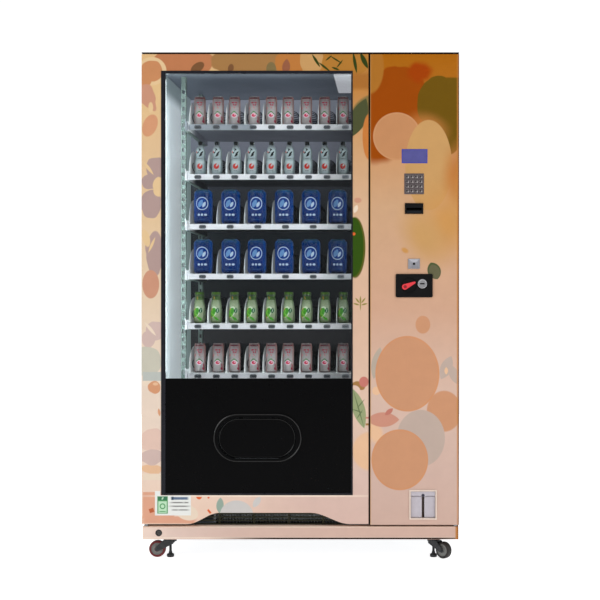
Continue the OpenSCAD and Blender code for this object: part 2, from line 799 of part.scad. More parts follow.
base_pan();
left_side_panel();
right_side_panel();
top_panel();
rear_panel();
kick_rail();
insulated_panels();
partition();
shelf_frame();
led_strips();
condenser_grille();
condenser();
compressor();
condenser_fan();
evaporator();
evaporator_fan();
delivery_bin();
control_box();
power_inlet();
hinge_pins();
caster_plates();
levelling_feet();
caster_fork_1();
caster_fork_2();
caster_fork_3();
caster_fork_4();
caster_wheel_1();
caster_wheel_2();
caster_wheel_3();
caster_wheel_4();
door_frame();
window_trim();
door_glass();
delivery_panel();
delivery_flap();
door_gasket();
control_door();
display();
keypad_plate();
keypad_keys();
bill_acceptor();
coin_plate();
coin_button();
lock_plate();
lock_lever();
lock_cylinder();
coin_cup();
coin_flaps();
tray_1();
tray_2();
tray_3();
tray_4();
tray_5();
tray_6();
coil_1();
coil_2();
coil_3();
coil_4();
coil_5();
coil_6();
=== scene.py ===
import json
import math

import bmesh
import bpy
from mathutils import Matrix, Vector


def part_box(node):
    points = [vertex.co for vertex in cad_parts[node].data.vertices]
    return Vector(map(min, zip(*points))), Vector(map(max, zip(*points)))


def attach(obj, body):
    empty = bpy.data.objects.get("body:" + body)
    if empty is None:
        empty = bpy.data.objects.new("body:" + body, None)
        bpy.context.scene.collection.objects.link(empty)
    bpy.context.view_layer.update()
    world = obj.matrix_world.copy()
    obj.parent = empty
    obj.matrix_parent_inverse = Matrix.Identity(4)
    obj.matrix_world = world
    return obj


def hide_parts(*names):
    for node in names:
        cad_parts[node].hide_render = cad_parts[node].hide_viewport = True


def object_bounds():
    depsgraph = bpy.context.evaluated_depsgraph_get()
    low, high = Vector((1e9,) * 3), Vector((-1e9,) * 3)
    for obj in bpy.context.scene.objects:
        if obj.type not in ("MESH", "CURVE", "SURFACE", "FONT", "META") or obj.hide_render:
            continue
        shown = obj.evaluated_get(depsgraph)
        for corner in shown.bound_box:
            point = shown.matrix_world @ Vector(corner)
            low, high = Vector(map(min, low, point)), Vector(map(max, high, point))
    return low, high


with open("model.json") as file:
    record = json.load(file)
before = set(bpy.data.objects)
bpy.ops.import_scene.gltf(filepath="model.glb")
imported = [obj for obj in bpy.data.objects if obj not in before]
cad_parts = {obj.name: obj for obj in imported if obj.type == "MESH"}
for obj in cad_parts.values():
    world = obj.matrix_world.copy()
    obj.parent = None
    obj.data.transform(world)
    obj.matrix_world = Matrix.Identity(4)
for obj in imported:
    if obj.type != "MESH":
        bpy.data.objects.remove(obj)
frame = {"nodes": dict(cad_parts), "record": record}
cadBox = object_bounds()
nodes = frame["nodes"]
mm = 0.001
print("frame loaded:", len(nodes), "nodes")


def srgb(red, green, blue):
    # a display colour, 0 to 255, as Blender's linear colour
    def linear(value):
        value /= 255
        return value / 12.92 if value <= 0.04045 else ((value + 0.055) / 1.055) ** 2.4

    return (linear(red), linear(green), linear(blue), 1)


studio = {
    "cameraX": 0.36,
    "cameraHeight": 0.996,
    "distance": 5.0,       # in front of the doors
    "lens": 78.8,
    "shiftX": -0.158,
    "background": (255, 255, 255),
    "skyPower": 0.46,
    "wallPower": 1.05,
    "aim": (0, 0, 1),
    "keyPlace": (3.6, -3.4, 2.9),
    "keySize": (1.6, 1.6),
    "keyPower": 79,
    "fillPlace": (-3.4, -3.6, 2.4),
    "fillSize": (2.2, 2.2),
    "fillPower": 45,
    "rimPlace": (0.5, 3.5, 3.0),
    "rimSize": (3, 2),
    "rimPower": 30,
    "floorSize": 6.0,
    "floorGlow": 0.45,
    "floorSeenGlow": 0.35,  # added where the camera looks straight at the floor
}


def makeCamera():
    data = bpy.data.cameras.new("camera")
    data.lens = studio["lens"]
    data.sensor_width = 36
    data.shift_x = studio["shiftX"]
    camera = bpy.data.objects.new("camera", data)
    front = cadBox[0].y
    camera.location = (studio["cameraX"], front - studio["distance"], studio["cameraHeight"])
    camera.rotation_euler = (math.radians(90), 0, 0)
    bpy.context.scene.collection.objects.link(camera)
    bpy.context.scene.camera = camera


def areaLight(name, place, target, size, power, colour=(1, 1, 1)):
    data = bpy.data.lights.new(name, "AREA")
    data.shape = "RECTANGLE"
    data.size, data.size_y = size
    data.energy = power
    data.color = colour
    light = bpy.data.objects.new(name, data)
    light.location = place
    light.rotation_euler = (Vector(target) - Vector(place)).to_track_quat("-Z", "Y").to_euler()
    bpy.context.scene.collection.objects.link(light)


def makeStudio():
    scene = bpy.context.scene
    scene.view_settings.view_transform = "Standard"
    world = bpy.data.worlds.new("studio")
    scene.world = world
    world.use_nodes = True
    tree = world.node_tree
    sky = tree.nodes["Background"]
    sky.inputs["Color"].default_value = srgb(*studio["background"])
    sky.inputs["Strength"].default_value = studio["skyPower"]
    wall = addNode(tree, "ShaderNodeBackground", {0: srgb(*studio["background"]), 1: studio["wallPower"]})
    seen = addNode(tree, "ShaderNodeLightPath").outputs["Is Camera Ray"]
    both = addNode(tree, "ShaderNodeMixShader", {0: seen, 1: sky.outputs[0], 2: wall.outputs[0]})
    tree.links.new(both.outputs[0], tree.nodes["World Output"].inputs["Surface"])
    for part in ("key", "fill", "rim"):
        areaLight(f"{part}Light", studio[f"{part}Place"], studio["aim"], studio[f"{part}Size"],
                  studio[f"{part}Power"])
    bm = bmesh.new()
    bmesh.ops.create_grid(bm, x_segments=2, y_segments=2, size=studio["floorSize"])
    floor = bpy.data.objects.new("floor", bpy.data.meshes.new("floor"))
    bm.to_mesh(floor.data)
    bm.free()
    scene.collection.objects.link(floor)
    glow = {"Emission Color": srgb(255, 255, 255)}
    pale = finish("paleFloor", (250, 250, 250), rough=0.7, grain=3, shade=0.01, sockets=glow)
    tree = pale.node_tree
    seen = addNode(tree, "ShaderNodeLightPath").outputs["Is Camera Ray"]
    strength = mathNode(tree, "MULTIPLY_ADD", seen, studio["floorSeenGlow"], studio["floorGlow"])
    tree.links.new(strength, tree.nodes["Principled BSDF"].inputs["Emission Strength"])
    floor.data.materials.append(pale)


def addNode(tree, kind, inputs=None, **settings):
    node = tree.nodes.new(kind)
    for name, value in settings.items():
        setattr(node, name, value)
    for key, value in (inputs or {}).items():
        if isinstance(value, bpy.types.NodeSocket):
            tree.links.new(value, node.inputs[key])
        else:
            node.inputs[key].default_value = value
    return node


def mathNode(tree, operation, first, second=0.0, third=0.0):
    node = addNode(tree, "ShaderNodeMath", {0: first, 1: second, 2: third}, operation=operation)
    return node.outputs[0]


def mixColour(tree, factor, first, second, blend="MIX"):
    node = addNode(tree, "ShaderNodeMix", data_type="RGBA", blend_type=blend)
    for socket, value in ((node.inputs[0], factor), (node.inputs[6], first), (node.inputs[7], second)):
        if isinstance(value, bpy.types.NodeSocket):
            tree.links.new(value, socket)
        else:
            socket.default_value = value
    return node.outputs[2]


def mapRange(tree, value, fromLow, fromHigh, toLow=0.0, toHigh=1.0, smooth=False):
    node = addNode(tree, "ShaderNodeMapRange", {0: value, 1: fromLow, 2: fromHigh, 3: toLow, 4: toHigh})
    node.interpolation_type = "SMOOTHSTEP" if smooth else "LINEAR"
    return node.outputs[0]


def startMaterial(name):
    material = bpy.data.materials.new(name)
    material.use_nodes = True
    tree = material.node_tree
    shader = tree.nodes["Principled BSDF"]
    place = addNode(tree, "ShaderNodeTexCoord").outputs["Object"]
    return material, tree, shader, place


def addSurface(tree, shader, place, colour, look):
    # varies the colour and the roughness a little and adds a fine relief
    stretch = look.get("stretch", (1, 1, 1))
    if stretch != (1, 1, 1):
        place = addNode(tree, "ShaderNodeMapping", {"Vector": place, "Scale": stretch}).outputs[0]
    grain = look.get("grain", 60)
    cloud = addNode(tree, "ShaderNodeTexNoise", {"Vector": place, "Scale": grain, "Detail": 4})
    shade = look.get("shade", 0.06)
    tone = mapRange(tree, cloud.outputs[0], 0.3, 0.7, 1 - shade, 1 + shade)
    value = addNode(tree, "ShaderNodeHueSaturation", {"Value": tone, "Color": colour})
    tree.links.new(value.outputs[0], shader.inputs["Base Color"])
    rough, vary = look.get("rough", 0.4), look.get("vary", 0.05)
    smudge = addNode(tree, "ShaderNodeTexNoise", {"Vector": place, "Scale": grain * 0.37, "Detail": 3})
    tree.links.new(
        mapRange(tree, smudge.outputs[0], 0.3, 0.7, rough - vary, rough + vary),
        shader.inputs["Roughness"],
    )
    relief = look.get("relief", 0.04)
    if relief:
        fine = addNode(
            tree, "ShaderNodeTexNoise", {"Vector": place, "Scale": look.get("pores", 900), "Detail": 2}
        )
        bump = addNode(
            tree, "ShaderNodeBump", {"Height": fine.outputs[0], "Strength": relief, "Distance": 0.0004}
        )
        tree.links.new(bump.outputs[0], shader.inputs["Normal"])
    for key, value in look.get("sockets", {}).items():
        shader.inputs[key].default_value = value


def finish(name, colour, **look):
    material, tree, shader, place = startMaterial(name)
    paint = addNode(tree, "ShaderNodeRGB")
    paint.outputs[0].default_value = srgb(*colour)
    addSurface(tree, shader, place, paint.outputs[0], look)
    return material


def patchMask(tree, flat, patch):
    # 1 inside the patch and 0 outside, with a soft edge
    kind, x, z, across, up, turn = patch[:6]
    soft = patch[7] if len(patch) > 7 else 1.5
    local = addNode(
        tree,
        "ShaderNodeMapping",
        {"Vector": flat, "Location": (x * mm, 0, z * mm), "Rotation": (0, math.radians(-turn), 0)},
        vector_type="TEXTURE",
    )
    if kind == "leaf":  # where two circles overlap
        radius = (up * up + across * across) / (2 * across)
        local = addNode(tree, "ShaderNodeVectorMath", {0: local.outputs[0]}, operation="ABSOLUTE")
        local = addNode(
            tree, "ShaderNodeVectorMath", {0: local.outputs[0], 1: ((radius - across) * mm, 0, 0)},
            operation="ADD",
        )
        size = radius
    elif kind == "box":
        spread = addNode(
            tree, "ShaderNodeVectorMath", {0: local.outputs[0], 1: (1 / across, 0, 1 / up)},
            operation="MULTIPLY",
        )
        spread = addNode(tree, "ShaderNodeVectorMath", {0: spread.outputs[0]}, operation="ABSOLUTE")
        parts = addNode(tree, "ShaderNodeSeparateXYZ", {0: spread.outputs[0]})
        far = mathNode(tree, "MAXIMUM", parts.outputs[0], parts.outputs[2])
        edge = soft / min(across, up)
        return mapRange(tree, far, (1 - edge) * mm, (1 + edge) * mm, 1, 0, smooth=True)
    else:
        size = min(across, up)
        local = addNode(
            tree, "ShaderNodeVectorMath", {0: local.outputs[0], 1: (size / across, 0, size / up)},
            operation="MULTIPLY",
        )
    length = addNode(tree, "ShaderNodeVectorMath", {0: local.outputs[0]}, operation="LENGTH")
    return mapRange(
        tree, length.outputs["Value"], (size - soft) * mm, (size + soft) * mm, 1, 0, smooth=True
    )


def paintPatches(tree, flat, under, patches, paints, wobble):
    shifts = []
    for scale in (13, 17):
        cloud = addNode(tree, "ShaderNodeTexNoise", {"Vector": flat, "Scale": scale, "Detail": 1})
        shifts.append(mapRange(tree, cloud.outputs[0], 0, 1, -wobble / 2, wobble / 2))
    shift = addNode(tree, "ShaderNodeCombineXYZ", {0: shifts[0], 2: shifts[1]})
    loose = addNode(tree, "ShaderNodeVectorMath", {0: flat, 1: shift.outputs[0]}, operation="ADD")
    for patch in patches:
        vector = loose.outputs[0] if patch[0] == "blob" else flat
        mask = patchMask(tree, vector, patch)
        under = mixColour(tree, mask, under, srgb(*paints[patch[6]]))
    return under


def rampColour(tree, value, stops):
    ramp = addNode(tree, "ShaderNodeValToRGB", {0: value})
    marks = ramp.color_ramp.elements
    while len(marks) < len(stops):
        marks.new(0.5)
    low, high = stops[0][0], stops[-1][0]
    for mark, (height, colour) in zip(marks, stops):
        mark.position = (height - low) / (high - low)
        mark.color = srgb(*colour)
    return ramp.outputs[0]


# The printed wrap: ground colours by height in mm, then patches painted in order; a few patches are painted
# highlights and painted shade along folded edges.
# A patch is its kind, middle x and z, half width, half height, turn, paint and edge softness.
wrap = {
    "leftGround": [
        (130, (235, 203, 182)), (420, (232, 211, 195)), (700, (229, 210, 192)), (1000, (226, 203, 176)),
        (1300, (224, 194, 155)), (1600, (222, 188, 146)), (1800, (225, 190, 138)), (1940, (222, 182, 130)),
    ],
    "middleGround": [
        (130, (213, 182, 170)), (330, (215, 186, 174)), (560, (222, 192, 172)), (900, (216, 180, 155)),
        (1300, (213, 177, 146)), (1600, (205, 158, 112)), (1800, (190, 130, 66)), (1940, (178, 122, 56)),
    ],
    "rightGround": [
        (130, (203, 172, 158)), (330, (205, 175, 162)), (620, (212, 182, 166)), (960, (205, 163, 137)),
        (1350, (203, 162, 126)), (1540, (201, 150, 106)), (1680, (178, 112, 40)), (1940, (166, 97, 10)),
    ],
    "paints": {
        "cream": (226, 194, 148),
        "paleCream": (232, 213, 192),
        "terracotta": (200, 138, 94),
        "clay": (202, 148, 122),
        "peach": (212, 153, 116),
        "mauve": (177, 151, 145),
        "paleMauve": (206, 181, 173),
        "sage": (198, 194, 178),
        "mist": (186, 190, 184),
        "rose": (224, 193, 178),
        "apricot": (228, 186, 150),
        "coral": (222, 165, 138),
        "brick": (186, 98, 62),
        "orange": (222, 100, 48),
        "grey": (203, 199, 196),
        "greyLeaf": (150, 169, 156),
        "brown": (188, 122, 82),
        "umber": (122, 84, 54),
        "moss": (126, 108, 70),
        "russet": (148, 92, 66),
        "amber": (186, 120, 60),
        "tan": (163, 120, 72),
        "ochre": (176, 120, 50),
        "twig": (48, 62, 22),
        "darkLeaf": (76, 80, 50),
        "leafEdge": (132, 112, 66),
        "green": (50, 80, 17),
        "deepGreen": (92, 92, 34),
        "sageLeaf": (150, 160, 118),
        "vein": (96, 112, 76),
        "pink": (196, 120, 108),
        "glow": (198, 122, 60),
        "rust": (152, 70, 4),
        "redRust": (158, 62, 3),
        "leafTan": (170, 110, 40),
        "olive": (108, 80, 14),
        "sun": (193, 137, 94),
        "sunRim": (198, 143, 100),
        "sand": (197, 152, 97),
        "warm": (200, 146, 84),
        "greyGreen": (100, 98, 72),
        "greenRim": (76, 88, 56),
        "clayDisc": (200, 146, 111),
        "clayRim": (204, 144, 104),
        "stone": (188, 168, 156),
        "rock": (200, 142, 122),
        "rockDark": (190, 120, 105),
        "darkGold": (168, 108, 48),
        "paleStone": (180, 166, 151),
        # light: painted highlight along folded edges
        "light": (243, 224, 206),
        # painted shade and painted highlight where the right edge of the doors turns away
        "edgeBrown": (88, 36, 14),
        "edgeGlow": (186, 122, 56),
        "sprig": (142, 132, 62),
        # painted shadow line under the kick rail
        "edgeBlack": (30, 18, 14),
    },
    # narrow strip left of the window, top to bottom, and the lower left corner
    "left": [
        ("blob", -566, 1868, 42, 40, 0, "terracotta"),
        ("blob", -588, 1836, 18, 34, -20, "terracotta"),
        ("blob", -582, 1772, 30, 48, 12, "clay"),
        ("blob", -560, 1742, 12, 26, 18, "clay"),
        ("oval", -570, 1730, 9, 20, 0, "cream"),
        ("oval", -573, 1661, 27, 44, -22, "peach"),
        ("blob", -552, 1500, 38, 42, 0, "mauve"),
        ("blob", -570, 1448, 34, 30, 0, "mauve"),
        ("leaf", -580, 1500, 6, 34, 38, "cream"),
        ("oval", -545, 1440, 16, 26, -20, "cream"),
        ("blob", -568, 1362, 40, 52, 0, "mauve"),
        ("oval", -538, 1412, 22, 22, 0, "cream"),
        ("blob", -556, 1172, 36, 84, 0, "mauve"),
        ("oval", -588, 1232, 14, 34, 14, "cream"),
        ("leaf", -566, 1206, 5, 32, -24, "cream"),
        ("oval", -570, 1056, 32, 54, 0, "clay"),
        ("blob", -552, 880, 36, 34, 0, "paleMauve"),
        ("blob", -578, 846, 26, 32, 0, "paleMauve"),
        ("leaf", -572, 886, 6, 34, 40, "paleCream"),
        ("blob", -590, 762, 60, 56, 30, "sage"),
        ("box", -565, 704, 36, 18, 0, "mist"),
        ("box", -565, 678, 36, 10, 0, "paleCream"),
        ("blob", -556, 662, 24, 24, 0, "peach"),
        ("oval", -552, 676, 10, 6, 0, "apricot"),
        ("leaf", -538, 568, 5, 15, 8, "peach"),
        ("blob", -560, 462, 52, 40, 0, "rose"),
        ("blob", -566, 398, 46, 28, 0, "paleMauve"),
        ("blob", -568, 352, 44, 20, 0, "apricot"),
        ("box", -560, 322, 40, 12, 0, "paleCream"),
        ("box", -540, 214, 60, 50, 0, "coral"),
        ("box", -500, 158, 100, 13, 0, "coral"),
        ("oval", -434, 188, 46, 30, -20, "paleCream"),
        ("box", -567, 194, 9, 8, 18, "brick"),
    ],
    # band over the window
    "top": [
        ("blob", -448, 1902, 118, 60, 0, "brown"),
        ("oval", -566, 1868, 56, 54, 0, "cream"),
        ("oval", -566, 1868, 40, 38, 0, "terracotta"),
        ("blob", -160, 1905, 180, 60, 0, "tan"),
        ("blob", -40, 1900, 62, 44, 0, "amber"),
        ("blob", 42, 1905, 44, 60, 0, "sand"),
        ("blob", 170, 1900, 88, 60, 0, "ochre"),
        ("oval", -392, 1882, 29, 17, 35, "umber"),
        ("oval", -265, 1879, 11, 17, -12, "umber"),
        ("oval", -111, 1876, 19, 27, 0, "moss"),
        ("leaf", -54, 1884, 15, 31, -5, "russet"),
        ("leaf", 60, 1908, 5, 30, 32, "twig"),
        ("leaf", 92, 1884, 4, 30, 52, "twig"),
        ("leaf", 108, 1918, 3, 16, -50, "twig"),
        ("leaf", 136, 1912, 3, 28, 58, "twig"),
        ("leaf", 150, 1896, 3, 20, -38, "twig"),
        ("leaf", 134, 1878, 4, 16, 70, "twig"),
        ("leaf", 208, 1900, 6, 42, 10, "twig"),
        ("leaf", 243, 1908, 9, 34, 26, "twig"),
    ],
    # strip right of the window
    "middle": [
        ("box", 230, 1830, 36, 30, 0, "darkGold", 12),
        ("leaf", 228, 1702, 36, 82, -24, "leafEdge", 5),
        ("leaf", 221, 1690, 31, 80, -22, "darkLeaf"),
        ("oval", 264, 1618, 27, 88, 0, "glow"),
        ("oval", 219, 1376, 14, 10, 0, "clay"),
        ("leaf", 211, 1343, 8, 16, -20, "paleCream"),
        ("oval", 208, 1196, 40, 116, 0, "deepGreen"),
        ("oval", 203, 1198, 38, 112, 0, "green"),
        ("oval", 204, 1248, 6, 6, 0, "orange"),
        ("leaf", 229, 996, 3, 15, 0, "sprig"),
        ("leaf", 218, 994, 3, 13, 38, "sprig"),
        ("leaf", 240, 994, 3, 13, -38, "sprig"),
        ("leaf", 214, 980, 3, 12, 74, "sprig"),
        ("leaf", 244, 980, 3, 12, -74, "sprig"),
        ("leaf", 229, 974, 2, 18, 0, "sprig"),
        ("blob", 226, 668, 24, 14, -20, "tan"),
        ("oval", 242, 684, 18, 20, 0, "pink"),
        ("leaf", 214, 655, 12, 20, 40, "rose"),
        ("leaf", 222, 582, 24, 78, 16, "sageLeaf"),
        ("leaf", 222, 582, 2, 70, 16, "vein"),
        ("leaf", 230, 600, 2, 22, -40, "vein"),
        ("leaf", 216, 574, 2, 22, 72, "vein"),
        ("leaf", 226, 560, 2, 20, -34, "vein"),
        ("box", 256, 547, 7, 3, 0, "pink"),
        ("box", 256, 522, 7, 4, 0, "tan"),
        ("oval", 268, 420, 70, 74, 0, "apricot", 6),
    ],
    # band under the window
    "bottom": [
        ("oval", -386, 248, 11, 12, 0, "orange"),
        ("oval", -350, 243, 4, 4, 0, "orange"),
        ("box", -347, 190, 4, 9, 38, "orange"),
        ("leaf", -306, 213, 14, 30, -4, "greyLeaf"),
        ("oval", -243, 174, 64, 58, 0, "grey"),
        ("leaf", -166, 226, 12, 24, -34, "grey"),
        # painted highlight along the lower edge of the window opening
        ("box", -165, 249, 370, 3, 0, "light"),
    ],
    "rail": [
        (-600, (236, 213, 199)), (-480, (222, 197, 185)), (-250, (212, 183, 170)), (100, (210, 179, 165)),
        (350, (208, 176, 162)), (600, (206, 174, 160)),
    ],
    # painted highlights along the rail's top and bottom folds, a painted shadow line under it, and a painted
    # highlight and painted shade at its right end
    "railEdges": [
        ("box", 0, 130, 620, 2.5, 0, "light", 2),
        ("box", 0, 88, 620, 2, 0, "light", 2),
        ("box", 200, 86, 440, 3, 0, "edgeBlack", 1),
        ("box", 597, 107, 5, 40, 0, "edgeGlow", 4),
        ("box", 605, 107, 5, 40, 0, "edgeBrown", 2),
    ],
    "right": [
        ("blob", 372, 1740, 120, 150, 0, "rust", 4),
        ("blob", 300, 1640, 96, 118, 0, "rust", 14),
        ("blob", 455, 1866, 44, 37, 0, "redRust", 14),
        ("oval", 262, 1884, 56, 102, 0, "leafTan", 4),
        ("blob", 524, 1746, 80, 100, 0, "olive"),
        ("box", 573, 1758, 36, 86, 0, "olive", 2),
        ("blob", 574, 1660, 44, 104, 0, "olive"),
        ("oval", 486, 1652, 60, 40, -20, "amber", 34),
        ("oval", 368, 1620, 91, 91, 0, "sunRim"),
        ("oval", 368, 1620, 85, 85, 0, "sun"),
        ("oval", 489, 1510, 89, 172, 0, "sand"),
        ("oval", 600, 1452, 46, 110, 0, "amber", 30),
        ("oval", 560, 1290, 90, 110, 0, "warm", 80),
        ("oval", 470, 1240, 60, 90, 30, "sand", 50),
        ("oval", 399, 1185, 14, 9, -30, "warm", 4),
        ("leaf", 510, 1107, 25, 34, 22, "greenRim"),
        ("leaf", 511, 1104, 21, 29, 22, "greyGreen"),
        ("oval", 467, 902, 28, 34, 0, "clayDisc"),
        ("leaf", 292, 756, 20, 62, -12, "paleStone"),
        ("leaf", 306, 706, 18, 46, 28, "paleStone"),
        ("oval", 290, 650, 16, 16, 0, "apricot"),
        ("leaf", 556, 738, 22, 48, -24, "stone"),
        ("leaf", 586, 712, 18, 40, 22, "stone"),
        ("leaf", 556, 726, 7, 14, 0, "apricot"),
        ("oval", 548, 572, 66, 78, 0, "clayDisc", 3),
        ("oval", 408, 715, 122, 144, 0, "clayRim"),
        ("oval", 408, 715, 116, 138, 0, "clayDisc"),
        ("oval", 286, 492, 26, 46, 20, "apricot", 10),
        ("leaf", 315, 540, 28, 62, 90, "rock"),
        ("leaf", 338, 570, 9, 20, -50, "rockDark"),
        ("oval", 459, 469, 92, 108, 0, "stone"),
        ("oval", 379, 387, 108, 116, 0, "clayRim"),
        ("oval", 379, 387, 102, 110, 0, "clayDisc"),
        # painted highlight and painted shade along the door's right edge, where it turns away
        ("box", 599, 1036, 2, 910, 0, "edgeGlow", 2),
        ("box", 605, 1036, 3, 910, 0, "edgeBrown", 1.5),
        ("box", 267, 1036, 1.5, 910, 0, "sand", 2),
    ],
}


def flatPlace(tree, place, across=0):
    # the height and one level direction as a vector in the XZ plane
    parts = addNode(tree, "ShaderNodeSeparateXYZ", {0: place})
    flat = addNode(tree, "ShaderNodeCombineXYZ", {0: parts.outputs[across], 2: parts.outputs[2]})
    return parts, flat.outputs[0]


def groundByHeight(tree, parts, stops):
    height = mapRange(tree, parts.outputs[2], stops[0][0] * mm, stops[-1][0] * mm)
    return rampColour(tree, height, stops)


wrapSurface = {
    "grain": 25, "shade": 0.02, "rough": 0.42, "relief": 0.02, "sockets": {"Specular IOR Level": 0.07},
}


def makeGoodsDoorWrap():
    material, tree, shader, place = startMaterial("goodsDoorWrap")
    parts, flat = flatPlace(tree, place)
    leftGround = groundByHeight(tree, parts, wrap["leftGround"])
    middleGround = groundByHeight(tree, parts, wrap["middleGround"])
    toMiddle = mapRange(tree, parts.outputs[0], -0.45, 0.1, smooth=True)
    under = mixColour(tree, toMiddle, leftGround, middleGround)
    patches = wrap["top"] + wrap["left"] + wrap["middle"] + wrap["bottom"]
    colour = paintPatches(tree, flat, under, patches, wrap["paints"], 0.03)
    addSurface(tree, shader, place, colour, wrapSurface)
    return material


def makeControlDoorWrap():
    material, tree, shader, place = startMaterial("controlDoorWrap")
    parts, flat = flatPlace(tree, place)
    under = groundByHeight(tree, parts, wrap["rightGround"])
    colour = paintPatches(tree, flat, under, wrap["right"], wrap["paints"], 0.03)
    addSurface(tree, shader, place, colour, wrapSurface)
    return material


def makeRailWrap():
    # one colour run from left to right, with painted highlights along the folded edges, a painted shadow
    # line under the rail and a painted highlight and painted shade at its right end
    material, tree, shader, place = startMaterial("railWrap")
    parts, flat = flatPlace(tree, place)
    across = mapRange(tree, parts.outputs[0], -0.6, 0.6)
    under = rampColour(tree, across, wrap["rail"])
    colour = paintPatches(tree, flat, under, wrap["railEdges"], wrap["paints"], 0)
    addSurface(tree, shader, place, colour, wrapSurface)
    return material


sideWrap = {
    "ground": wrap["leftGround"],
    "patches": [
        ("blob", -260, 1790, 150, 120, 0, "terracotta"),
        ("blob", 60, 1840, 210, 110, 20, "brown"),
        ("oval", 300, 1700, 110, 150, -20, "peach"),
        ("leaf", 40, 1600, 60, 170, 38, "greyLeaf"),
        ("oval", -180, 1520, 130, 110, 0, "sand"),
        ("blob", 250, 1400, 140, 150, 0, "mauve"),
        ("leaf", -300, 1290, 40, 150, -20, "sageLeaf"),
        ("blob", -40, 1180, 170, 120, 30, "clay"),
        ("oval", 290, 1080, 90, 110, 0, "paleMauve"),
        ("oval", -250, 960, 120, 140, 0, "clayDisc"),
        ("blob", 120, 850, 150, 120, -10, "sage"),
        ("leaf", 330, 720, 40, 130, 24, "greyLeaf"),
        ("oval", -120, 650, 110, 100, 0, "stone"),
        ("oval", 200, 560, 120, 120, 0, "apricot"),
        ("blob", -300, 460, 110, 130, 0, "rose"),
        ("oval", 60, 330, 140, 110, 0, "clayDisc"),
        ("oval", 320, 240, 100, 120, 0, "paleMauve"),
        ("oval", -220, 200, 90, 80, 0, "grey"),
    ],
}


def makeSideWrap():
    material, tree, shader, place = startMaterial("sideWrap")
    parts, flat = flatPlace(tree, place, across=1)
    under = groundByHeight(tree, parts, sideWrap["ground"])
    colour = paintPatches(tree, flat, under, sideWrap["patches"], wrap["paints"], 0.07)
    addSurface(tree, shader, place, colour, wrapSurface)
    return material


def paintShadeToRight(tree, x, colour, strength=0.55):
    # painted shade: the cold compartment is darker towards its right end
    away = mapRange(tree, x, 0.02, 0.2, 0, strength, smooth=True)
    return mixColour(tree, away, colour, srgb(16, 16, 20))


# Where the enamel of the cold compartment and its painted shade change, in metres, and the strength of its
# painted glow
liner = {
    "sideDepth": (0.0, 0.31),
    "sideHigh": (1.77, 1.83),
    "ceilingDepth": (-0.36, -0.16),
    "backWall": (0.335, 0.343),
    "ceiling": (1.873, 1.876),
    # painted shade towards the right end
    "dim": (-0.1, 0.2),
    "inside": (-0.366, -0.362),
    # painted black past this x: shade in the door gap
    "gapShadeStart": (0.2612, 0.2617),
    # strength of the painted glow
    "glow": 0.6,
}


def makeLiner():
    # pale enamel on the side walls with painted shade towards the back, at the top and towards the right
    # end; painted shade by height on the dark back wall, deepest low down; painted shade on the ceiling
    # towards the back; near-black at the front edges; painted black past the control side as shade in the
    # door gap; and a painted glow
    material, tree, shader, place = startMaterial("innerLiner")
    parts = addNode(tree, "ShaderNodeSeparateXYZ", {0: place})
    depth = mapRange(tree, parts.outputs[1], *liner["sideDepth"], smooth=True)
    high = mapRange(tree, parts.outputs[2], *liner["sideHigh"], smooth=True)
    # painted shade on the side walls towards the back and at the top
    walls = mixColour(tree, depth, srgb(206, 213, 217), srgb(128, 146, 145))
    walls = mixColour(tree, high, walls, srgb(118, 130, 134))
    # the back wall is dark, with painted shade that varies with height
    backWallAndShade = groundByHeight(tree, parts, [
        (340, (20, 22, 25)), (847, (46, 46, 49)), (1000, (24, 27, 31)), (1286, (26, 31, 36)),
        (1480, (50, 53, 60)), (1560, (64, 67, 76)), (1600, (112, 115, 128)), (1725, (126, 129, 142)),
        (1880, (144, 147, 160)),
    ])
    # painted shade on the ceiling towards the back
    ceiling = mixColour(
        tree, mapRange(tree, parts.outputs[1], *liner["ceilingDepth"], smooth=True),
        srgb(112, 120, 130), srgb(74, 81, 92),
    )
    wall = mapRange(tree, parts.outputs[1], *liner["backWall"])
    colour = mixColour(tree, wall, walls, backWallAndShade)
    colour = mixColour(tree, mapRange(tree, parts.outputs[2], *liner["ceiling"]), colour, ceiling)
    # painted shade towards the right end
    away = mapRange(tree, parts.outputs[0], *liner["dim"], smooth=True)
    colour = mixColour(tree, away, colour, mixColour(tree, 0.45, colour, srgb(20, 20, 24)))
    inside = mapRange(tree, parts.outputs[1], *liner["inside"])
    colour = mixColour(tree, inside, srgb(14, 12, 12), colour)
    # painted black past the control side: shade in the door gap
    gapShade = mapRange(tree, parts.outputs[0], *liner["gapShadeStart"])
    colour = mixColour(tree, gapShade, colour, srgb(10, 9, 9))
    addSurface(tree, shader, place, colour, {"grain": 9, "shade": 0.05, "rough": 0.5, "vary": 0.08})
    # painted glow: the liner gives off its own colour
    tree.links.new(colour, shader.inputs["Emission Color"])
    shader.inputs["Emission Strength"].default_value = liner["glow"]
    return material


def makeTrayEnamel():
    # white along the front, with painted shade towards the back of the lanes, deeper on the lower trays,
    # painted shade towards the right end and a faint painted glow
    material, tree, shader, place = startMaterial("trayEnamel")
    parts = addNode(tree, "ShaderNodeSeparateXYZ", {0: place})
    depth = mapRange(tree, parts.outputs[1], -0.24, -0.06, smooth=True)
    high = mapRange(tree, parts.outputs[2], 1.5, 1.62)
    # painted shade at the back of the lanes, deeper on the lower trays
    laneBackShade = mixColour(tree, high, srgb(50, 54, 60), srgb(124, 128, 140))
    colour = mixColour(tree, depth, srgb(232, 234, 236), laneBackShade)
    colour = paintShadeToRight(tree, parts.outputs[0], colour)
    addSurface(tree, shader, place, colour, {"grain": 30, "shade": 0.03, "rough": 0.42})
    # faint painted glow
    tree.links.new(colour, shader.inputs["Emission Color"])
    shader.inputs["Emission Strength"].default_value = 0.12
    return material


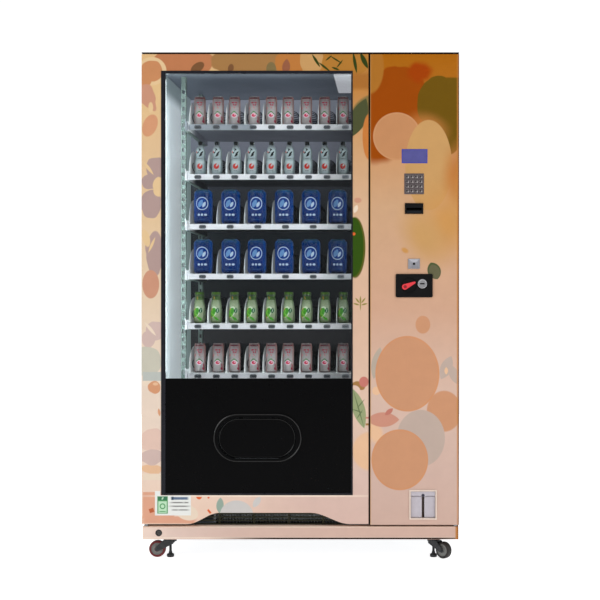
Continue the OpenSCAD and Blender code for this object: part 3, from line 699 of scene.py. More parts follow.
def makeRailEnamel():
    # white, with painted shade over the left part of the top rail and towards the right end
    material, tree, shader, place = startMaterial("railEnamel")
    parts = addNode(tree, "ShaderNodeSeparateXYZ", {0: place})
    # painted shade over the left part of the top rail
    top = mapRange(tree, parts.outputs[2], 1.6, 1.61)
    left = mapRange(tree, parts.outputs[0], -0.205, -0.185, 1, 0)
    topRailShade = mathNode(tree, "MULTIPLY", top, left)
    colour = mixColour(tree, topRailShade, srgb(222, 219, 225), srgb(146, 150, 160))
    colour = paintShadeToRight(tree, parts.outputs[0], colour, 0.7)
    addSurface(tree, shader, place, colour, {"grain": 30, "shade": 0.03, "rough": 0.4})
    return material


def makeGlass():
    material = bpy.data.materials.new("clearGlass")
    material.use_nodes = True
    tree = material.node_tree
    shader = tree.nodes["Principled BSDF"]
    shader.inputs["Base Color"].default_value = srgb(250, 252, 252)
    shader.inputs["Roughness"].default_value = 0.0
    shader.inputs["IOR"].default_value = 1.14
    shader.inputs["Transmission Weight"].default_value = 1.0
    clear = addNode(tree, "ShaderNodeBsdfTransparent")
    clear.inputs["Color"].default_value = srgb(247, 250, 250)
    path = addNode(tree, "ShaderNodeLightPath")
    mix = addNode(
        tree, "ShaderNodeMixShader",
        {0: path.outputs["Is Shadow Ray"], 1: shader.outputs[0], 2: clear.outputs[0]},
    )
    tree.links.new(mix.outputs[0], tree.nodes["Material Output"].inputs["Surface"])
    return material


def glowing(name, colour, strength):
    material, tree, shader, place = startMaterial(name)
    paint = addNode(tree, "ShaderNodeRGB")
    paint.outputs[0].default_value = srgb(*colour)
    addSurface(tree, shader, place, paint.outputs[0], {"rough": 0.3, "relief": 0})
    shader.inputs["Emission Color"].default_value = srgb(*colour)
    shader.inputs["Emission Strength"].default_value = strength
    return material


paint = {
    "goodsDoorWrap": makeGoodsDoorWrap(),
    "controlDoorWrap": makeControlDoorWrap(),
    "railWrap": makeRailWrap(),
    "sideWrap": makeSideWrap(),
    "liner": makeLiner(),
    "glass": makeGlass(),
    "steel": finish("zincSteel", (150, 154, 158), rough=0.38, shade=0.1, grain=40,
                    sockets={"Metallic": 1.0}),
    "tray": makeTrayEnamel(),
    "railEnamel": makeRailEnamel(),
    # the duct's steel has a painted glow
    "duct": finish("ductSteelPaintedGlow", (150, 149, 155), rough=0.4, shade=0.03,
                   sockets={"Emission Color": srgb(184, 184, 190), "Emission Strength": 0.7}),
    "post": finish("postSteel", (140, 158, 152), rough=0.4, shade=0.06, grain=25),
    "led": glowing("ledDiffuser", (236, 248, 250), 9),
    "grille": finish("grilleSteel", (46, 47, 32), rough=0.45, shade=0.12, grain=60,
                     sockets={"Metallic": 0.6}),
    "fins": finish("aluminiumFins", (150, 156, 158), rough=0.35, shade=0.12, grain=30,
                   stretch=(40, 1, 1), sockets={"Metallic": 1.0}),
    "blackMetal": finish("blackMetal", (24, 25, 27), rough=0.35, shade=0.15, grain=50),
    "darkSteel": finish("darkSteel", (62, 64, 66), rough=0.34, shade=0.2, grain=70,
                        sockets={"Metallic": 0.85}),
    "fanPlastic": finish("fanPlastic", (84, 88, 92), rough=0.5),
    "blackPlastic": finish("blackPlastic", (9, 9, 10), rough=0.42, shade=0.12, pores=1500, relief=0.1,
                           sockets={"Specular IOR Level": 0.16}),
    "portLip": finish("portLip", (6, 6, 7), rough=0.22, shade=0.05, sockets={"Specular IOR Level": 0.4}),
    "satinBlack": finish("satinBlack", (5, 5, 6), rough=0.3, vary=0.04, shade=0.08, relief=0.03,
                         sockets={"Specular IOR Level": 0.06}),
    "windowBorder": finish("windowBorder", (26, 27, 34), rough=0.3, shade=0.1,
                           sockets={"Specular IOR Level": 0.2}),
    # dark roof sheet; its darkness also stands in for the shade along the roof's front edge
    "roofSheet": finish("roofSheet", (26, 20, 16), rough=0.5, shade=0.2, grain=12,
                        sockets={"Specular IOR Level": 0.2}),
    "gasket": finish("gasketRubber", (30, 30, 32), rough=0.7, shade=0.1),
    "redTyre": finish("redTyre", (104, 10, 16), rough=0.36, shade=0.12),
    "blackTyre": finish("blackTyre", (26, 24, 22), rough=0.5, shade=0.15),
    "hub": finish("hubPlastic", (120, 122, 120), rough=0.42, shade=0.12),
    "keyMetal": finish("keypadMetal", (112, 102, 104), rough=0.34, shade=0.1, grain=50,
                       stretch=(1, 1, 25), sockets={"Metallic": 0.7}),
    "keyCap": finish("keyCap", (134, 126, 126), rough=0.3, shade=0.08, sockets={"Metallic": 0.7}),
    "keyMark": finish("keyMark", (34, 24, 26), rough=0.5),
    "screen": glowing("displayScreen", (78, 77, 140), 0.06),
    "screenFrame": finish("displayFrame", (70, 74, 164), rough=0.3, sockets={"Specular IOR Level": 0.2}),
    "bright": finish("brightMetal", (200, 200, 204), rough=0.16, shade=0.06, grain=60,
                     sockets={"Metallic": 1.0}),
    "dished": finish("brushedPlate", (182, 182, 190), rough=0.3, shade=0.08, grain=40,
                     stretch=(20, 1, 1), sockets={"Metallic": 0.9}),
    "redPlastic": finish("redPlastic", (226, 52, 62), rough=0.3, sockets={"Coat Weight": 0.3}),
    "darkRed": finish("darkRed", (140, 16, 24), rough=0.4),
    "cup": finish("cupPlastic", (206, 186, 176), rough=0.4, shade=0.04),
    "cupFlap": finish("cupFlap", (190, 184, 192), rough=0.32, shade=0.05, sockets={"Metallic": 0.35}),
    "coil": finish("coilWire", (40, 43, 46), rough=0.36, shade=0.15, grain=80,
                   sockets={"Metallic": 0.7}),
    "tag": finish("tagPlastic", (52, 54, 60), rough=0.4, shade=0.1),
    "tagRim": finish("tagRim", (120, 124, 132), rough=0.4),
    # painted highlight on each key
    "keyPaintedHighlight": finish("keyPaintedHighlight", (176, 170, 168), rough=0.3),
    "inkBlue": finish("inkBlue", (16, 22, 28), rough=0.35, sockets={"Specular IOR Level": 0.2}),
    "latch": finish("latchPlastic", (34, 32, 52), rough=0.4),
    "cupEdge": finish("cupEdge", (226, 208, 194), rough=0.36, shade=0.03),
    "rearSteel": finish("rearSteel", (176, 180, 182), rough=0.42, shade=0.08, grain=30,
                   sockets={"Metallic": 0.8}),
}
print("materials made:", len(bpy.data.materials))

makeCamera()
makeStudio()
print("studio ready")


def newPiece(name, bm, material, body, replaced=(), soft=True, angle=35):
    # links the mesh as a piece that rides on a body
    bmesh.ops.remove_doubles(bm, verts=bm.verts, dist=1e-6)
    bmesh.ops.recalc_face_normals(bm, faces=bm.faces)
    if soft:
        limit = math.radians(angle)
        for face in bm.faces:
            face.smooth = True
        for edge in bm.edges:
            if len(edge.link_faces) == 2:
                edge.smooth = edge.calc_face_angle(0) < limit
    mesh = bpy.data.meshes.new(name)
    bm.to_mesh(mesh)
    bm.free()
    piece = bpy.data.objects.new(name, mesh)
    bpy.context.scene.collection.objects.link(piece)
    for one in material if isinstance(material, list) else [material]:
        mesh.materials.append(one)
    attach(piece, body)
    if replaced:
        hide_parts(*replaced)
    if soft:
        even = piece.modifiers.new("evenNormals", "WEIGHTED_NORMAL")
        even.keep_sharp = True
    return piece


def addBox(bm, x, y, z, bevel=0.0, segments=2, material=0):
    # a box between corners in metres, with its edges rounded
    low, high = Vector((x[0], y[0], z[0])), Vector((x[1], y[1], z[1]))
    size = high - low
    matrix = Matrix.Translation((low + high) / 2) @ Matrix.Diagonal((*size, 1))
    made = bmesh.ops.create_cube(bm, size=1, matrix=matrix)
    faces = {face for vert in made["verts"] for face in vert.link_faces}
    for face in faces:
        face.material_index = material
    if bevel:
        edges = {edge for face in faces for edge in face.edges}
        bevelEdges(bm, edges, bevel, segments)
    return made["verts"]


def bevelEdges(bm, edges, width, segments=2):
    return bmesh.ops.bevel(
        bm, geom=list(edges), offset=width, offset_type="OFFSET", affect="EDGES",
        segments=segments, profile=0.5, material=-1, clamp_overlap=True,
    )


def spinProfile(bm, points, axis, centre, steps=48, material=0):
    # turns a profile of (radius, height) points about an axis through centre
    axis = Vector(axis).normalized()
    side = Vector((1, 0, 0)) if abs(axis.x) < 0.9 else Vector((0, 0, 1))
    side = (side - axis * side.dot(axis)).normalized()
    centre = Vector(centre)
    chain = [bm.verts.new(centre + side * r + axis * h) for r, h in points]
    edges = [bm.edges.new(pair) for pair in zip(chain, chain[1:])]
    before = set(bm.faces)
    bmesh.ops.spin(
        bm, geom=chain + edges, cent=centre, axis=axis, angle=math.tau, steps=steps, use_merge=True
    )
    made = [face for face in bm.faces if face not in before]
    for face in made:
        face.material_index = material
    verts = {vert for face in made for vert in face.verts}
    bmesh.ops.remove_doubles(bm, verts=list(verts), dist=1e-6)
    return [face for face in bm.faces if face not in before]


def softenNode(node, material, bevel=0.0006, segments=2):
    # gives a CAD node its finish and rounds its edges with modifiers
    piece = nodes[node]
    piece.data.materials.clear()
    piece.data.materials.append(paint[material])
    weld = piece.modifiers.new("weld", "WELD")
    weld.merge_threshold = 2e-6
    flat = piece.modifiers.new("flatten", "DECIMATE")
    flat.decimate_type = "DISSOLVE"
    flat.angle_limit = math.radians(1)
    if bevel:
        edge = piece.modifiers.new("soften", "BEVEL")
        edge.width = bevel
        edge.segments = segments
        edge.limit_method = "ANGLE"
        edge.angle_limit = math.radians(30)
        edge.harden_normals = True


keptNodes = {
    "door_frame": ("goodsDoorWrap", 0.0012),
    "control_door": ("controlDoorWrap", 0.0012),
    "kick_rail": ("railWrap", 0.0008),
    "left_side_panel": ("sideWrap", 0.0005),
    "right_side_panel": ("sideWrap", 0.0005),
    "top_panel": ("roofSheet", 0.0008),
    "rear_panel": ("rearSteel", 0.0004),
    "base_pan": ("steel", 0.0006),
    "insulated_panels": ("liner", 0.001),
    "partition": ("liner", 0.001),
    "shelf_frame": ("post", 0.0004),
    "led_strips": ("led", 0.002),
    "condenser_grille": ("grille", 0.0006),
    "condenser": ("fins", 0.0),
    "compressor": ("blackMetal", 0.002),
    "condenser_fan": ("fanPlastic", 0.0006),
    "evaporator": ("fins", 0.0),
    "evaporator_fan": ("fanPlastic", 0.0006),
    "delivery_bin": ("steel", 0.0004),
    "control_box": ("rearSteel", 0.0006),
    "power_inlet": ("blackPlastic", 0.0006),
    "hinge_pins": ("steel", 0.0008),
    "caster_plates": ("darkSteel", 0.0008),
    "window_trim": ("windowBorder", 0.001),
    "door_gasket": ("gasket", 0.0012),
    "delivery_panel": ("satinBlack", 0.0015),
    "delivery_flap": ("satinBlack", 0.0012),
    "levelling_feet": ("darkSteel", 0.0006),
    "keypad_plate": ("keyMetal", 0.0005),
    "keypad_keys": ("keyCap", 0.001),
    "display": ("screenFrame", 0.0006),
    "bill_acceptor": ("blackPlastic", 0.0015),
    "coin_plate": ("dished", 0.0004),
    "coin_button": ("blackPlastic", 0.0006),
    "lock_plate": ("blackPlastic", 0.0012),
    "lock_lever": ("redPlastic", 0.0015),
    "lock_cylinder": ("bright", 0.001),
    "coin_cup": ("cup", 0.0015),
    "coin_flaps": ("cupFlap", 0.0006),
}
for index in range(1, 5):
    keptNodes[f"caster_fork_{index}"] = ("darkSteel", 0.0008)
    keptNodes[f"caster_wheel_{index}"] = ("redTyre" if index == 1 else "blackTyre", 0.001)
for index in range(1, 7):
    keptNodes[f"tray_{index}"] = ("tray", 0.0004)
for node, (material, bevel) in keptNodes.items():
    softenNode(node, material, bevel)
print("CAD nodes finished:", len(keptNodes))


def makePane():
    low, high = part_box("door_glass")
    bm = bmesh.new()
    for y in ((low.y, low.y + 0.004), (high.y - 0.004, high.y)):
        addBox(bm, (low.x, high.x), y, (low.z, high.z), 0.0006)
    newPiece("glassPanes", bm, paint["glass"], "glass_door", ("door_glass",), soft=False)


makePane()
print("glass made")

rig = {joint["child"]: joint for joint in frame["record"]["behaviour"]["joints"]}


def fitLabel(bm, faces, centre, radius):
    # unrolls the faces round an upright axis, in metres, with zero at the front
    layer = bm.loops.layers.uv.get("label") or bm.loops.layers.uv.new("label")
    for face in faces:
        middle = face.calc_center_median()
        across = math.atan2(middle.x - centre.x, centre.y - middle.y)
        for loop in face.loops:
            point = loop.vert.co
            turn = math.atan2(point.x - centre.x, centre.y - point.y) - across
            turn = (turn + math.pi) % math.tau - math.pi
            loop[layer].uv = ((across + turn) * radius, point.z - centre.z)


# The goods: a turned outline as radius and height in mm, and a printed label; its colours also hold painted
# shade and, on the blue can, a painted highlight.
# Label patches are like the wrap's, in mm across and up from the bottom of the front.
goods = {
    "slimCan": {
        "outline": [
            (0, 3), (14, 3), (16, 0.5), (19, 0.5), (21.8, 5), (22.5, 9), (22.5, 103), (20.5, 110),
            (19.6, 111), (20.2, 112.4), (20, 114.4), (18.6, 114.8), (18, 113.4), (17.4, 110.5), (0, 110.5),
        ],
        "radius": 22.5,
        # the darker upper part is painted shade
        "ground": [
            (0, (60, 52, 56)), (4, (96, 86, 88)), (7, (158, 150, 150)), (40, (174, 168, 168)),
            (70, (158, 150, 150)), (84, (134, 126, 128)), (103, (120, 108, 110)), (106, (92, 40, 48)),
            (110, (84, 40, 46)), (112, (112, 106, 108)), (115, (130, 126, 128)),
        ],
        "side": (150, 104, 100),
        "paints": {
            "halo": (226, 204, 218), "berry": (214, 62, 92), "leafGreen": (44, 122, 40),
            "crimson": (158, 30, 62), "rosy": (190, 104, 112),
        },
        "patches": [
            ("oval", 0, 41, 12.5, 10.5, 0, "halo", 1.6),
            ("oval", 0, 40, 8.4, 6.6, 0, "berry", 1.2),
            ("oval", 3, 42, 3, 2, 0, "halo", 1),
            ("leaf", -8.5, 48, 1.8, 10, -52, "leafGreen", 0.5),
            ("leaf", 8.5, 48, 1.8, 10, 52, "leafGreen", 0.5),
            ("oval", 0, 53.4, 5, 2.4, 0, "leafGreen", 0.6),
            ("oval", -5, 90, 6, 2.6, 8, "crimson", 0.8),
            ("oval", 8, 90, 5, 2.4, -8, "crimson", 0.8),
            ("leaf", -1, 81, 2.2, 5, 30, "crimson", 0.6),
            ("leaf", 7, 81, 2.2, 5, -24, "crimson", 0.6),
            ("leaf", -18, 68, 2.6, 7, -24, "rosy", 0.8),
            ("leaf", 1, 70, 1.8, 5, 40, "rosy", 0.8),
            ("leaf", 18, 28, 2.4, 10, 10, "crimson", 0.8),
            ("oval", 17, 16, 4.4, 6, 30, "crimson", 0.8),
        ],
    },
    "greenBottle": {
        "outline": [
            (0, 2.5), (14, 2.5), (17, 0), (20, 1.6), (22.6, 7), (23.8, 18), (23.8, 50), (22.6, 65),
            (20.2, 80), (17.4, 91), (16.8, 95), (16.8, 107), (16.2, 108), (18.2, 109), (18.2, 121),
            (16.6, 123), (0, 123),
        ],
        "radius": 23.8,
        "ground": [
            (0, (46, 58, 38)), (5, (84, 98, 66)), (14, (128, 140, 108)), (66, (146, 156, 130)),
            (84, (122, 136, 106)), (91, (116, 128, 100)), (92.5, (60, 88, 36)), (106, (48, 74, 28)),
            (108, (52, 60, 54)), (113, (58, 66, 60)), (114, (62, 98, 22)), (123, (48, 78, 16)),
        ],
        "side": (74, 90, 58),
        "paints": {
            "pale": (192, 202, 178), "leafGreen": (66, 146, 38), "lime": (120, 186, 62),
            "deepLeaf": (26, 88, 58), "amber": (196, 122, 44),
        },
        "patches": [
            ("oval", -11, 44, 15, 24, -30, "pale", 1),
            ("oval", -13, 42, 12, 21, -30, "leafGreen", 1),
            ("leaf", -8, 30, 3, 17, 36, "lime", 0.8),
            ("leaf", -16, 44, 3, 14, -20, "lime", 0.8),
            ("leaf", 4, 18, 5, 12, 58, "leafGreen", 0.8),
            ("leaf", -17, 56, 1.4, 8, -34, "amber", 0.6),
            ("leaf", -18, 24, 1.4, 8, 20, "amber", 0.6),
            ("leaf", 8, 50, 7, 11, -14, "deepLeaf", 0.8),
            ("leaf", 8, 50, 1, 9, -14, "pale", 0.5),
            ("leaf", -9, 100, 1.4, 7, 20, "amber", 0.6),
        ],
    },
    "blueCan": {
        "outline": [
            (0, 6), (22, 6), (26, 1), (28, 0), (30, 1), (35, 8), (36.8, 13), (36.8, 121), (33, 129),
            (27, 133), (26, 134), (27, 135), (26.4, 136), (24.6, 135.4), (23.6, 131), (0, 131),
        ],
        "radius": 36.8,
        "ground": [
            (0, (2, 10, 30)), (7, (0, 20, 58)), (14, (0, 30, 84)), (66, (0, 36, 104)),
            (112, (0, 30, 86)), (122, (0, 44, 88)), (130, (16, 60, 92)), (133, (44, 74, 92)),
            (136, (70, 90, 102)),
        ],
        # lighter towards the sides: painted highlight
        "side": (20, 66, 132),
        "paints": {
            "ice": (166, 184, 202), "mid": (0, 44, 118), "dim": (26, 58, 108), "sky": (88, 128, 176),
        },
        "patches": [
            ("oval", 0, 80, 25.5, 25.5, 0, "ice", 1),
            ("oval", 0, 80, 22.5, 22.5, 0, "mid", 1),
            ("leaf", -6, 80, 8.5, 17, -26, "sky", 1),
            ("leaf", 8, 76, 5.5, 12, -26, "ice", 1),
            ("oval", -13, 36, 5, 4.2, 0, "ice", 1.6),
            ("oval", 0, 36, 4, 4.6, 0, "ice", 1.6),
            ("oval", 14, 36, 6, 4.2, 0, "ice", 1.6),
            ("box", 0, 17, 17, 2, 0, "dim", 1.6),
            ("oval", 0, 126, 14, 4, 0, "dim", 2),
        ],
    },
    "paleBottle": {
        "outline": [
            (0, 2.5), (13, 2.5), (16, 0), (19, 1), (21.6, 6), (22.2, 14), (22.2, 48), (21, 58),
            (18.8, 66), (18.8, 72), (19.6, 80), (19.4, 92), (17, 104), (12.4, 113), (9, 118), (8.4, 120),
            (10, 120.6), (10.2, 131), (9, 133), (0, 133),
        ],
        "radius": 22.2,
        "ground": [
            (0, (78, 84, 86)), (5, (138, 148, 152)), (16, (164, 176, 180)), (52, (170, 182, 186)),
            (64, (132, 144, 148)), (72, (146, 158, 162)), (96, (168, 180, 184)), (108, (128, 136, 140)),
            (118, (84, 88, 92)), (120, (16, 16, 18)), (133, (10, 10, 12)),
        ],
        "side": (104, 114, 118),
        "paints": {
            "ink": (16, 18, 20), "red": (196, 52, 44), "pale": (176, 184, 186), "ash": (92, 98, 100),
        },
        "patches": [
            ("leaf", -1, 101, 2.4, 8, 62, "ink", 0.6),
            ("leaf", -2, 98, 2.2, 8, -34, "ink", 0.6),
            ("leaf", -9, 88, 3, 6, -54, "ink", 0.6),
            ("leaf", 7, 86, 3.6, 12, -46, "ink", 0.6),
            ("leaf", 3, 77, 3, 10, -64, "ink", 0.6),
            ("oval", -16, 91, 3, 4, 0, "red", 0.8),
            ("oval", 0, 34, 11, 11, 0, "red", 1),
            ("leaf", 3, 39, 3, 7, -34, "pale", 1),
            ("box", -4, 16, 2.6, 1.4, 0, "ash", 0.8),
            ("box", 4, 16, 3, 1.4, 0, "ash", 0.8),
            ("box", 0, 64, 9, 1.2, 0, "ash", 0.8),
        ],
    },
}


def makeLabel(kind):
    look = goods[kind]
    material, tree, shader, place = startMaterial(kind + "Label")
    sheet = addNode(tree, "ShaderNodeUVMap", uv_map="label").outputs[0]
    parts = addNode(tree, "ShaderNodeSeparateXYZ", {0: sheet}).outputs
    flat = addNode(tree, "ShaderNodeCombineXYZ", {0: parts[0], 2: parts[1]}).outputs[0]
    ground = look["ground"]
    height = mapRange(tree, parts[1], 0, ground[-1][0] * mm)
    colour = rampColour(tree, height, ground)
    # towards both sides the label turns to its side colour: painted shade, with the slim can's pink print,
    # and a painted highlight on the blue can
    sideShadeAndSheen = mathNode(tree, "ABSOLUTE", parts[0])
    reach = look["radius"] * mm
    sideShadeAndSheen = mapRange(tree, sideShadeAndSheen, 0.65 * reach, 1.15 * reach, smooth=True)
    colour = mixColour(tree, mathNode(tree, "MULTIPLY", sideShadeAndSheen, 0.75), colour, srgb(*look["side"]))
    colour = paintPatches(tree, flat, colour, look["patches"], look["paints"], 0)
    # painted shade towards the right end
    colour = paintShadeToRight(tree, addNode(tree, "ShaderNodeSeparateXYZ", {0: place}).outputs[0], colour)
    matt = {"Specular IOR Level": 0.14}
    surface = {"grain": 90, "shade": 0.05, "rough": 0.3, "relief": 0.02, "sockets": matt}
    addSurface(tree, shader, place, colour, surface)
    return material


# How the lanes of a tray are filled, and the wire of its spirals
lanes = {
    "stock": ["slimCan", "greenBottle", "blueCan", "blueCan", "paleBottle", "slimCan"],
    "runner": (16, 3),        # beside the deck, left and right, in mm
    "deckUp": 22.5,           # deck above the tray's lowest point
    "coilLength": 0.462,      # in metres
    "wire": 1.8,
    "turnSteps": 24,
    "wireSides": 6,
    "freeEnd": 8,             # steps of wire in front of the last full turn
    "play": {                 # how far each item stands from the middle of its lane, in mm
        "slimCan": (0, 0, -7, -2, -6, -12, -12, -12, -11),
        "greenBottle": (-2, -8, -8, -11, -8, -10, -11, -11, -11),
        "blueCan": (-3, -3, -8, -9, -11, -14),
        "paleBottle": (2, -5, -2, -11, -6, -7, -9, -12, -12),
    },
}


def trayPlan(index):
    # the deck's ends and height, the middle of each lane and the spiral's radius
    tray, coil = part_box(f"tray_{index}"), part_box(f"coil_{index}")
    left, right = tray[0].x + lanes["runner"][0] * mm, tray[1].x - lanes["runner"][1] * mm
    first = (coil[0].x + coil[1].x) / 2
    pitch = 2 * (first - left)
    middles = [first + k * pitch for k in range(round((right - left) / pitch))]
    return {
        "left": left,
        "right": right,
        "front": tray[0].y,
        "low": tray[0].z,
        "deck": tray[0].z + lanes["deckUp"] * mm,
        "middles": middles,
        "radius": (coil[1].x - coil[0].x) / 2 - lanes["wire"] * mm,
        "axisZ": (coil[0].z + coil[1].z) / 2,
        "coilFront": coil[0].y + lanes["wire"] * mm,
        "coilBack": coil[1].y,
    }


def repeatAt(bm, first, others):
    # copies what the mesh holds from X first to each of the others
    whole = list(bm.verts) + list(bm.edges) + list(bm.faces)
    for x in others:
        copied = bmesh.ops.duplicate(bm, geom=whole)["geom"]
        verts = [item for item in copied if isinstance(item, bmesh.types.BMVert)]
        bmesh.ops.translate(bm, verts=verts, vec=(x - first, 0, 0))


def makeStock():
    labels = {kind: makeLabel(kind) for kind in goods}
    for index, kind in enumerate(lanes["stock"], 1):
        plan, look = trayPlan(index), goods[kind]
        radius = look["radius"] * mm
        y = plan["coilFront"] - lanes["wire"] * mm - radius - 0.001
        bm = bmesh.new()
        places = [x + play * mm for x, play in zip(plan["middles"], lanes["play"][kind])]
        first = places[0]
        centre = Vector((first, y, plan["deck"] + 0.0004))
        outline = [(r * mm, h * mm) for r, h in look["outline"]]
        faces = spinProfile(bm, outline, (0, 0, 1), centre, steps=32)
        fitLabel(bm, faces, centre, radius)
        repeatAt(bm, first, places[1:])
        newPiece(f"{kind}s_{index}", bm, labels[kind], f"tray_{index}", angle=50)


def addSpiral(bm, plan, x, turns):
    # one wire wound about the lane's axis, with a free end in front
    steps, wire = lanes["turnSteps"], lanes["wire"] * mm
    start = -90 - lanes["freeEnd"] * 360 / steps
    back = plan["coilFront"] + turns * plan["turnLength"]
    total = turns * steps + lanes["freeEnd"]
    rise = plan["turnLength"] / steps
    centre = Vector((x, back - total * rise, plan["axisZ"]))
    place = (
        Matrix.Translation(centre)
        @ Matrix.Rotation(math.radians(-start), 4, "Y")
        @ Matrix.Translation((plan["radius"], 0, 0))
    )
    ring = bmesh.ops.create_circle(bm, segments=lanes["wireSides"], radius=wire, matrix=place)["verts"]
    edges = list({edge for vert in ring for edge in vert.link_edges})
    wound = bmesh.ops.spin(
        bm, geom=ring + edges, cent=centre, axis=(0, -1, 0), dvec=(0, rise, 0),
        angle=math.tau * total / steps, steps=total,
    )
    last = [item for item in wound["geom_last"] if isinstance(item, bmesh.types.BMEdge)]
    bmesh.ops.holes_fill(bm, edges=edges + last, sides=0)
    addBox(bm, (x - 0.0025, x + 0.0025), (back + 0.001, back + 0.006),
           (plan["axisZ"] - plan["radius"] - wire, plan["axisZ"] - 0.005), 0.0006)
    length = plan["coilBack"] - back
    hub = [(0, 0), (0.0062, 0), (0.007, 0.0008), (0.007, length - 0.0008), (0, length)]
    spinProfile(bm, hub, (0, 1, 0), (x, back, plan["axisZ"]), steps=20)


def makeSpirals():
    for index in range(1, 7):
        plan = trayPlan(index)
        turns = 8 if len(plan["middles"]) > 6 else 6
        plan["turnLength"] = lanes["coilLength"] / turns
        bm = bmesh.new()
        addSpiral(bm, plan, plan["middles"][0], turns)
        newPiece(f"spiral_{index}", bm, paint["coil"], f"coil_{index}", (f"coil_{index}",))
        bm = bmesh.new()
        addSpiral(bm, plan, plan["middles"][1], turns)
        repeatAt(bm, plan["middles"][1], plan["middles"][2:])
        newPiece(f"laneSpirals_{index}", bm, paint["coil"], f"tray_{index}")


# Price rail on the front of each tray and the lane tags on it
rail = {"deep": 0.003, "recess": 0.0012, "lip": 0.0032, "tag": (0.027, 0.0142), "tagDeep": 0.0014}


def frontFace(verts):
    faces = {face for vert in verts for face in vert.link_faces}
    return min(faces, key=lambda face: face.calc_center_median().y)


def makePriceRails():
    for index in range(1, 7):
        plan = trayPlan(index)
        front, low, high = plan["front"], plan["low"] + 0.0005, plan["deck"]
        bm = bmesh.new()
        verts = addBox(bm, (plan["left"] - 0.001, plan["right"] + 0.001), (front - rail["deep"], front),
                       (low, high))
        face = frontFace(verts)
        bmesh.ops.inset_individual(bm, faces=[face], thickness=rail["lip"], depth=0)
        bmesh.ops.inset_individual(bm, faces=[face], thickness=0.0006, depth=-rail["recess"])
        edges = [edge for edge in bm.edges if edge.calc_face_angle(0) > math.radians(50)]
        bevelEdges(bm, edges, 0.0005, 2)
        newPiece(f"priceRail_{index}", bm, paint["railEnamel"], f"tray_{index}")

        bm = bmesh.new()
        middle = (low + high) / 2 - 0.0005
        wide, tall = rail["tag"]
        for x in plan["middles"]:
            verts = addBox(bm, (x - wide / 2, x + wide / 2),
                           (front - rail["deep"] - rail["tagDeep"], front - rail["deep"] + rail["recess"]),
                           (middle - tall / 2, middle + tall / 2))
            corners = [edge for vert in verts for edge in vert.link_edges
                       if abs(edge.verts[0].co.y - edge.verts[1].co.y) > 0.001]
            made = bevelEdges(bm, set(corners), tall * 0.42, 5)
            face = min(made["faces"], key=lambda one: one.calc_center_median().y)
            face = min({f for e in face.edges for f in e.link_faces}, key=lambda f: f.calc_center_median().y)
            bmesh.ops.inset_individual(bm, faces=[face], thickness=0.0022, depth=0)
            ring = bmesh.ops.inset_individual(bm, faces=[face], thickness=0.0011, depth=0.0003)["faces"]
            for one in ring:
                one.material_index = 1
        newPiece(f"laneTags_{index}", bm, [paint["tag"], paint["tagRim"]], f"tray_{index}")


duct = {"x": (0.123, 0.219), "y": (-0.33, 0.10), "z": (1.866, 1.8764), "bevel": 0.002}


def makeDuct():
    # the pale air duct under the ceiling at the right
    bm = bmesh.new()
    addBox(bm, duct["x"], duct["y"], duct["z"], duct["bevel"])
    newPiece("airDuct", bm, paint["duct"], "cabinet")


def makeTrayHooks():
    # the bent ends that hang each tray on its posts
    for index in range(1, 7):
        plan = trayPlan(index)
        bm = bmesh.new()
        deck, left, front = plan["deck"], plan["left"], plan["front"]
        outline = [(-16, -24), (-5, -24), (-5, 4), (-9, 11), (-13, 22), (-16, 22), (-14, 4), (-16, -4)]
        verts = [bm.verts.new((left + x * mm, front + 0.002, deck + z * mm)) for x, z in outline]
        face = bm.faces.new(verts)
        grown = bmesh.ops.extrude_face_region(bm, geom=[face])["geom"]
        moved = [item for item in grown if isinstance(item, bmesh.types.BMVert)]
        bmesh.ops.translate(bm, verts=moved, vec=(0, 0.008, 0))
        bevelEdges(bm, list(bm.edges), 0.0012, 2)
        newPiece(f"trayHook_{index}", bm, paint["railEnamel"], f"tray_{index}")


makeStock()
makeSpirals()
makePriceRails()
makeTrayHooks()
makeDuct()
print("trays stocked")


controls = {
    "screenInset": 0.0035,
    "keyWide": 0.013,
    "billPlace": (0.4334, 1.3445),
    "billFront": -0.424,
    "keyMark": (0.0052, 0.0068),
    # size of the painted highlight on each key
    "keyPaintedHighlight": (0.0034, 0.0044),
    "ringWide": 0.0036,
}


def makeScreen():
    low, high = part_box("display")
    inset = controls["screenInset"]
    bm = bmesh.new()
    addBox(bm, (low.x + inset, high.x - inset), (low.y - 0.0006, low.y + 0.0004),
           (low.z + inset, high.z - inset), 0.0003)
    newPiece("screenPane", bm, paint["screen"], "control_door")


def makeKeyMarks():
    # a dark mark and a small painted highlight on every key
    low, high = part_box("keypad_keys")
    bm = bmesh.new()
    keyWide = controls["keyWide"]
    for column in range(4):
        for row in range(4):
            x = low.x + keyWide / 2 + column * (high.x - low.x - keyWide) / 3
            z = low.z + keyWide / 2 + row * (high.z - low.z - keyWide) / 3
            marks = (
                (x - 0.0018, z + 0.0008, controls["keyMark"], 0),
                (x + 0.0034, z - 0.0028, controls["keyPaintedHighlight"], 1),
            )
            for markX, markZ, (wide, tall), slot in marks:
                addBox(bm, (markX - wide / 2, markX + wide / 2), (low.y - 0.0004, low.y + 0.0002),
                       (markZ - tall / 2, markZ + tall / 2), 0.0003, material=slot)
    newPiece("keyMarks", bm, [paint["keyMark"], paint["keyPaintedHighlight"]], "keys")


def makeBillMouth():
    # the lit lower lip of the bill slot and the hood over it
    x, z = controls["billPlace"]
    front = controls["billFront"]
    bm = bmesh.new()
    addBox(bm, (x - 0.026, x + 0.026), (front - 0.0008, front + 0.0004), (z - 0.017, z - 0.008), 0.0006)
    addBox(bm, (x - 0.028, x + 0.028), (front - 0.0008, front + 0.0004), (z + 0.0045, z + 0.0065), 0.0006)
    newPiece("billLip", bm, paint["inkBlue"], "control_door")


